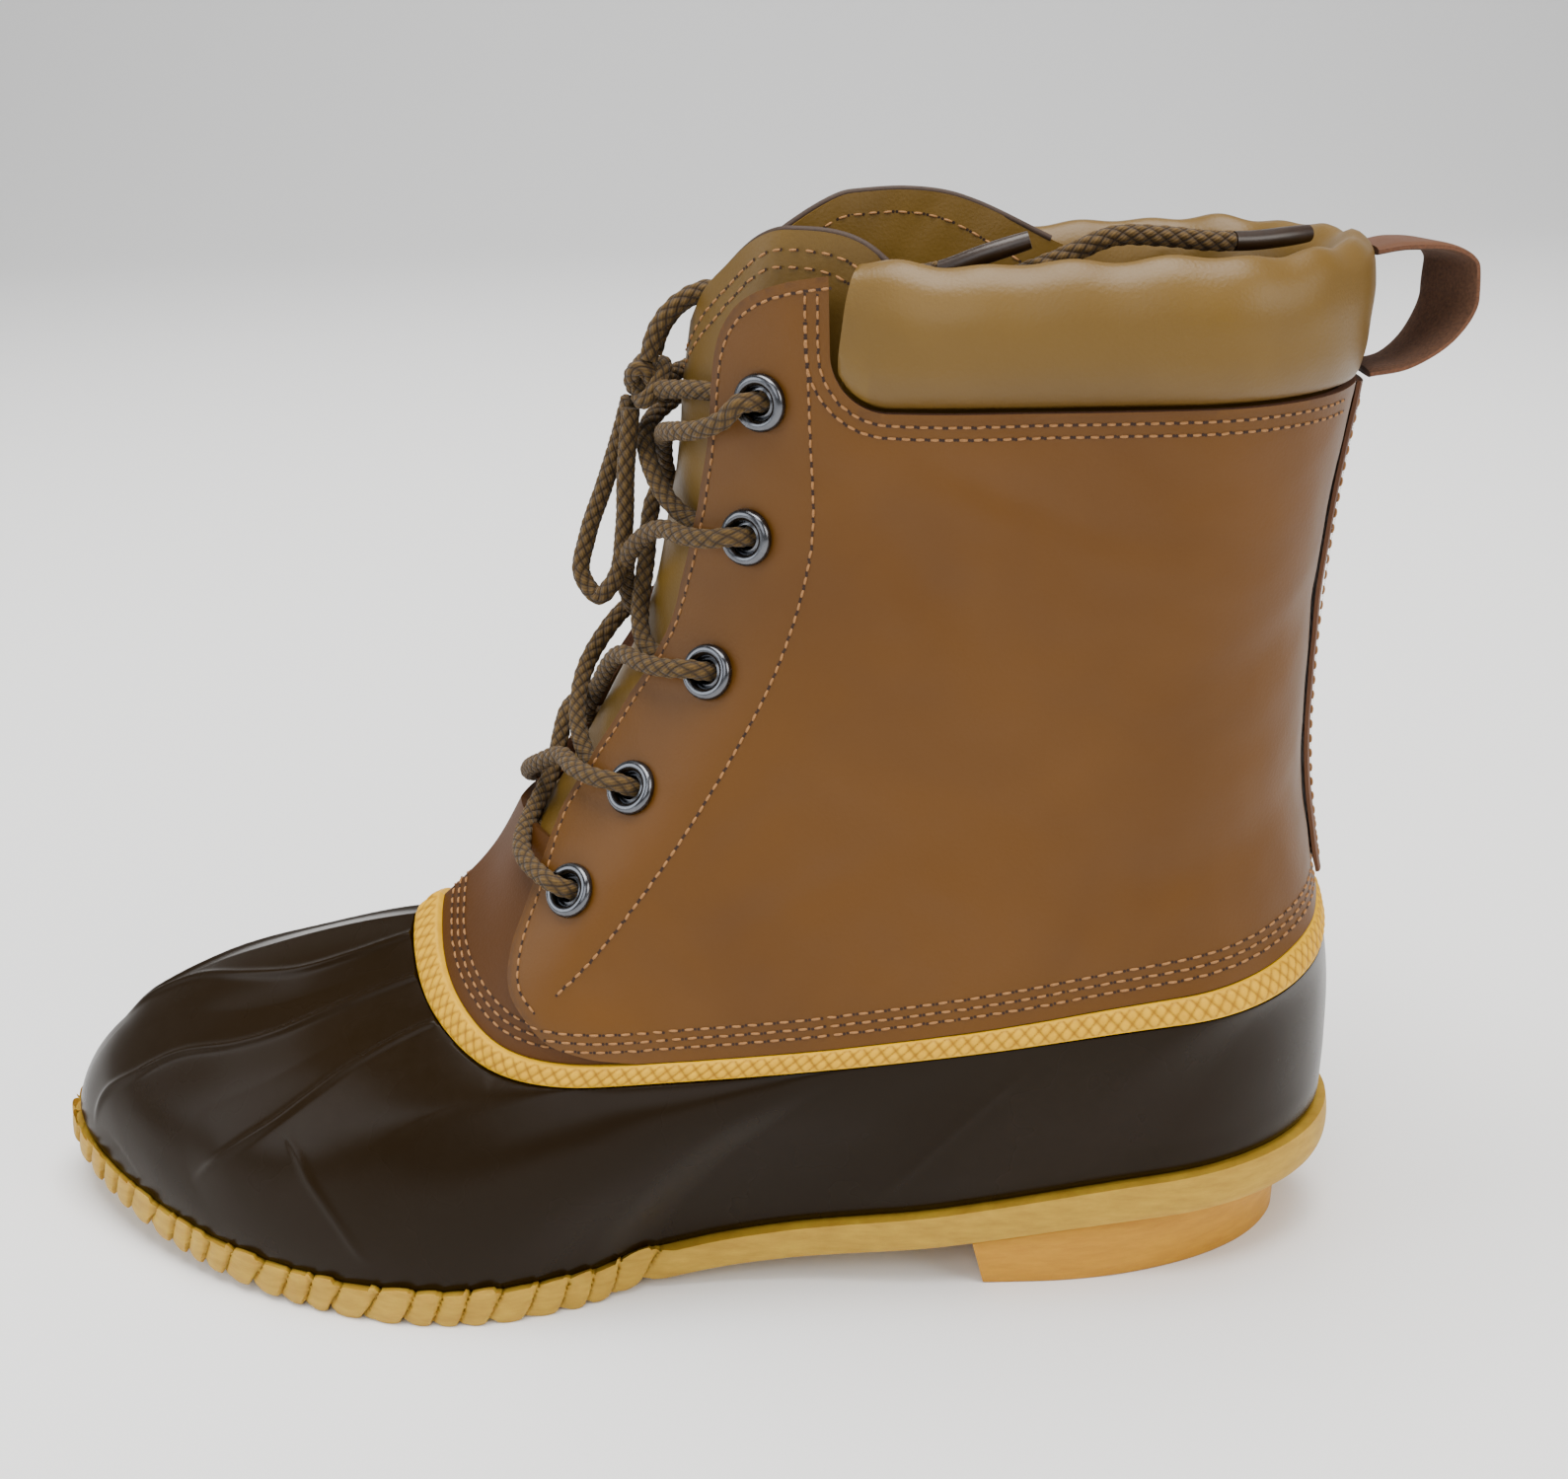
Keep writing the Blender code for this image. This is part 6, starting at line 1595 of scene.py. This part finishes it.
endLong = onBoot([
    (0.3450, -0.1145, 0.8941), (0.3393, -0.1265, 0.9153), (0.3260, -0.1265, 0.9378),
    (0.3017, -0.1205, 0.9514), (0.2767, -0.0964, 0.9482), (0.2433, -0.0241, 0.9437),
    (0.2067, 0.0602, 0.9437), (0.1667, 0.1506, 0.9505), (0.1300, 0.2289, 0.9640), (0.1000, 0.2831, 0.9775),
    (0.0750, 0.3072, 0.9910), (0.0417, 0.3133, 1.0090), (0.0100, 0.3072, 1.0077),
    (-0.0200, 0.2892, 1.0023), (-0.0467, 0.2590, 1.0000), (-0.0733, 0.2169, 1.0009),
    (-0.0900, 0.1807, 1.0018)])


# Bow loop and both ends as cords, each end in a smooth tip, round a trefoil knot.
def freeLaces(k):
    turn = np.linspace(0, 2 * math.pi, 220)
    swell = 1 + 0.25 * np.cos(3 * turn)
    knot = np.stack([np.cos(2 * turn) * swell, np.sin(2 * turn) * swell, np.sin(3 * turn)], 1)
    knot = knot * k["knot"] + knotAt
    knotPiece = lacePiece("laceKnot", knot, "lace_knot", share=k["knotShare"], closed=True)
    bow = spline(bowLoop, int(lineLength(bowLoop) / k["step"]))
    ob = lacePiece("laceBow", bow, "lace_bow")
    for name, points, node in (("laceShort", endShort, "lace_end_short"),
                               ("laceLong", endLong, "lace_end_long")):
        path = spline(points, int(lineLength(points) / k["step"]))
        length = lineLength(path)
        tip = spline(path, 120)[np.linspace(0, length, 120) > length - k["tip"] - 0.0005]
        radius = 0.5 * k["width"] * 1.18 * (0.86 - 0.10 * np.linspace(0, 1, len(tip)) ** 6)
        tipPiece = dress(tube(name + "Tip", tip, radius, [tipPlastic]), "lace_braid")
        share = np.where(np.linspace(0, length, len(path)) > length - k["tip"], 0.8, 1.0)
        ob = lacePiece(name, path, node, share=share)
        print(name, round(length, 3))


laces(laceLook)
freeLaces(laceLook)
print("laces")


# Floor, light
floorLook = dict(wide=9.0, front=7.0, back=-2.0, bend=1.6, high=7.0, grey=0.92)


# A pale floor that bends up far behind the boot into a backdrop.
def floor(k):
    bend = np.linspace(0, math.pi / 2, 24)
    y = np.concatenate([[k["front"]], k["back"] - k["bend"] * np.sin(bend), [k["back"] - k["bend"]]])
    z = np.concatenate([[0.0], k["bend"] * (1 - np.cos(bend)), [k["high"]]])
    x = np.array([-k["wide"], k["wide"]])
    net = np.stack(np.broadcast_arrays(x, y[:, None], z[:, None]), -1)
    material, n, shader = newMaterial("paleFloor", 0.9, specular=0.2)
    shader.inputs["Base Color"].default_value = (k["grey"], k["grey"], k["grey"], 1)
    addGrid("floor", net, [material])


worldStrength = 0.36
lights = [  # name, place, aim, size, power, colour
    ("front", (0.45, 1.50, 0.95), (0.10, 0.0, 0.08), 1.0, 10.0, (0.94, 0.97, 1.0)),
    ("top", (0.05, 0.10, 1.50), (0.10, 0.0, 0.08), 1.1, 38.0, (1.0, 0.98, 0.95)),
    ("left", (1.30, 0.35, 0.60), (0.10, 0.0, 0.10), 0.8, 8.0, (0.90, 0.95, 1.0)),
    ("right", (-1.15, 0.75, 0.80), (0.10, 0.0, 0.10), 0.8, 12.0, (1.0, 0.96, 0.90)),
    ("behind", (0.0, -1.0, 1.6), (0.0, -2.6, 0.6), 1.6, 26.0, (1.0, 1.0, 1.0)),
]


# Soft area lights, each aimed along the line from its place to its aim, and an even pale world.
def lighting():
    for name, place, aim, size, power, colour in lights:
        data = bpy.data.lights.new(name, "AREA")
        data.size, data.energy, data.color = size, power, colour
        aimed(name, data, place, np.subtract(place, aim))
    world = bpy.data.worlds.new("studio")
    world.use_nodes = True
    background = world.node_tree.nodes["Background"].inputs
    background["Color"].default_value = (1, 1, 1, 1)
    background["Strength"].default_value = worldStrength
    bpy.context.scene.world = world


floor(floorLook)
lighting()
print("stage set")
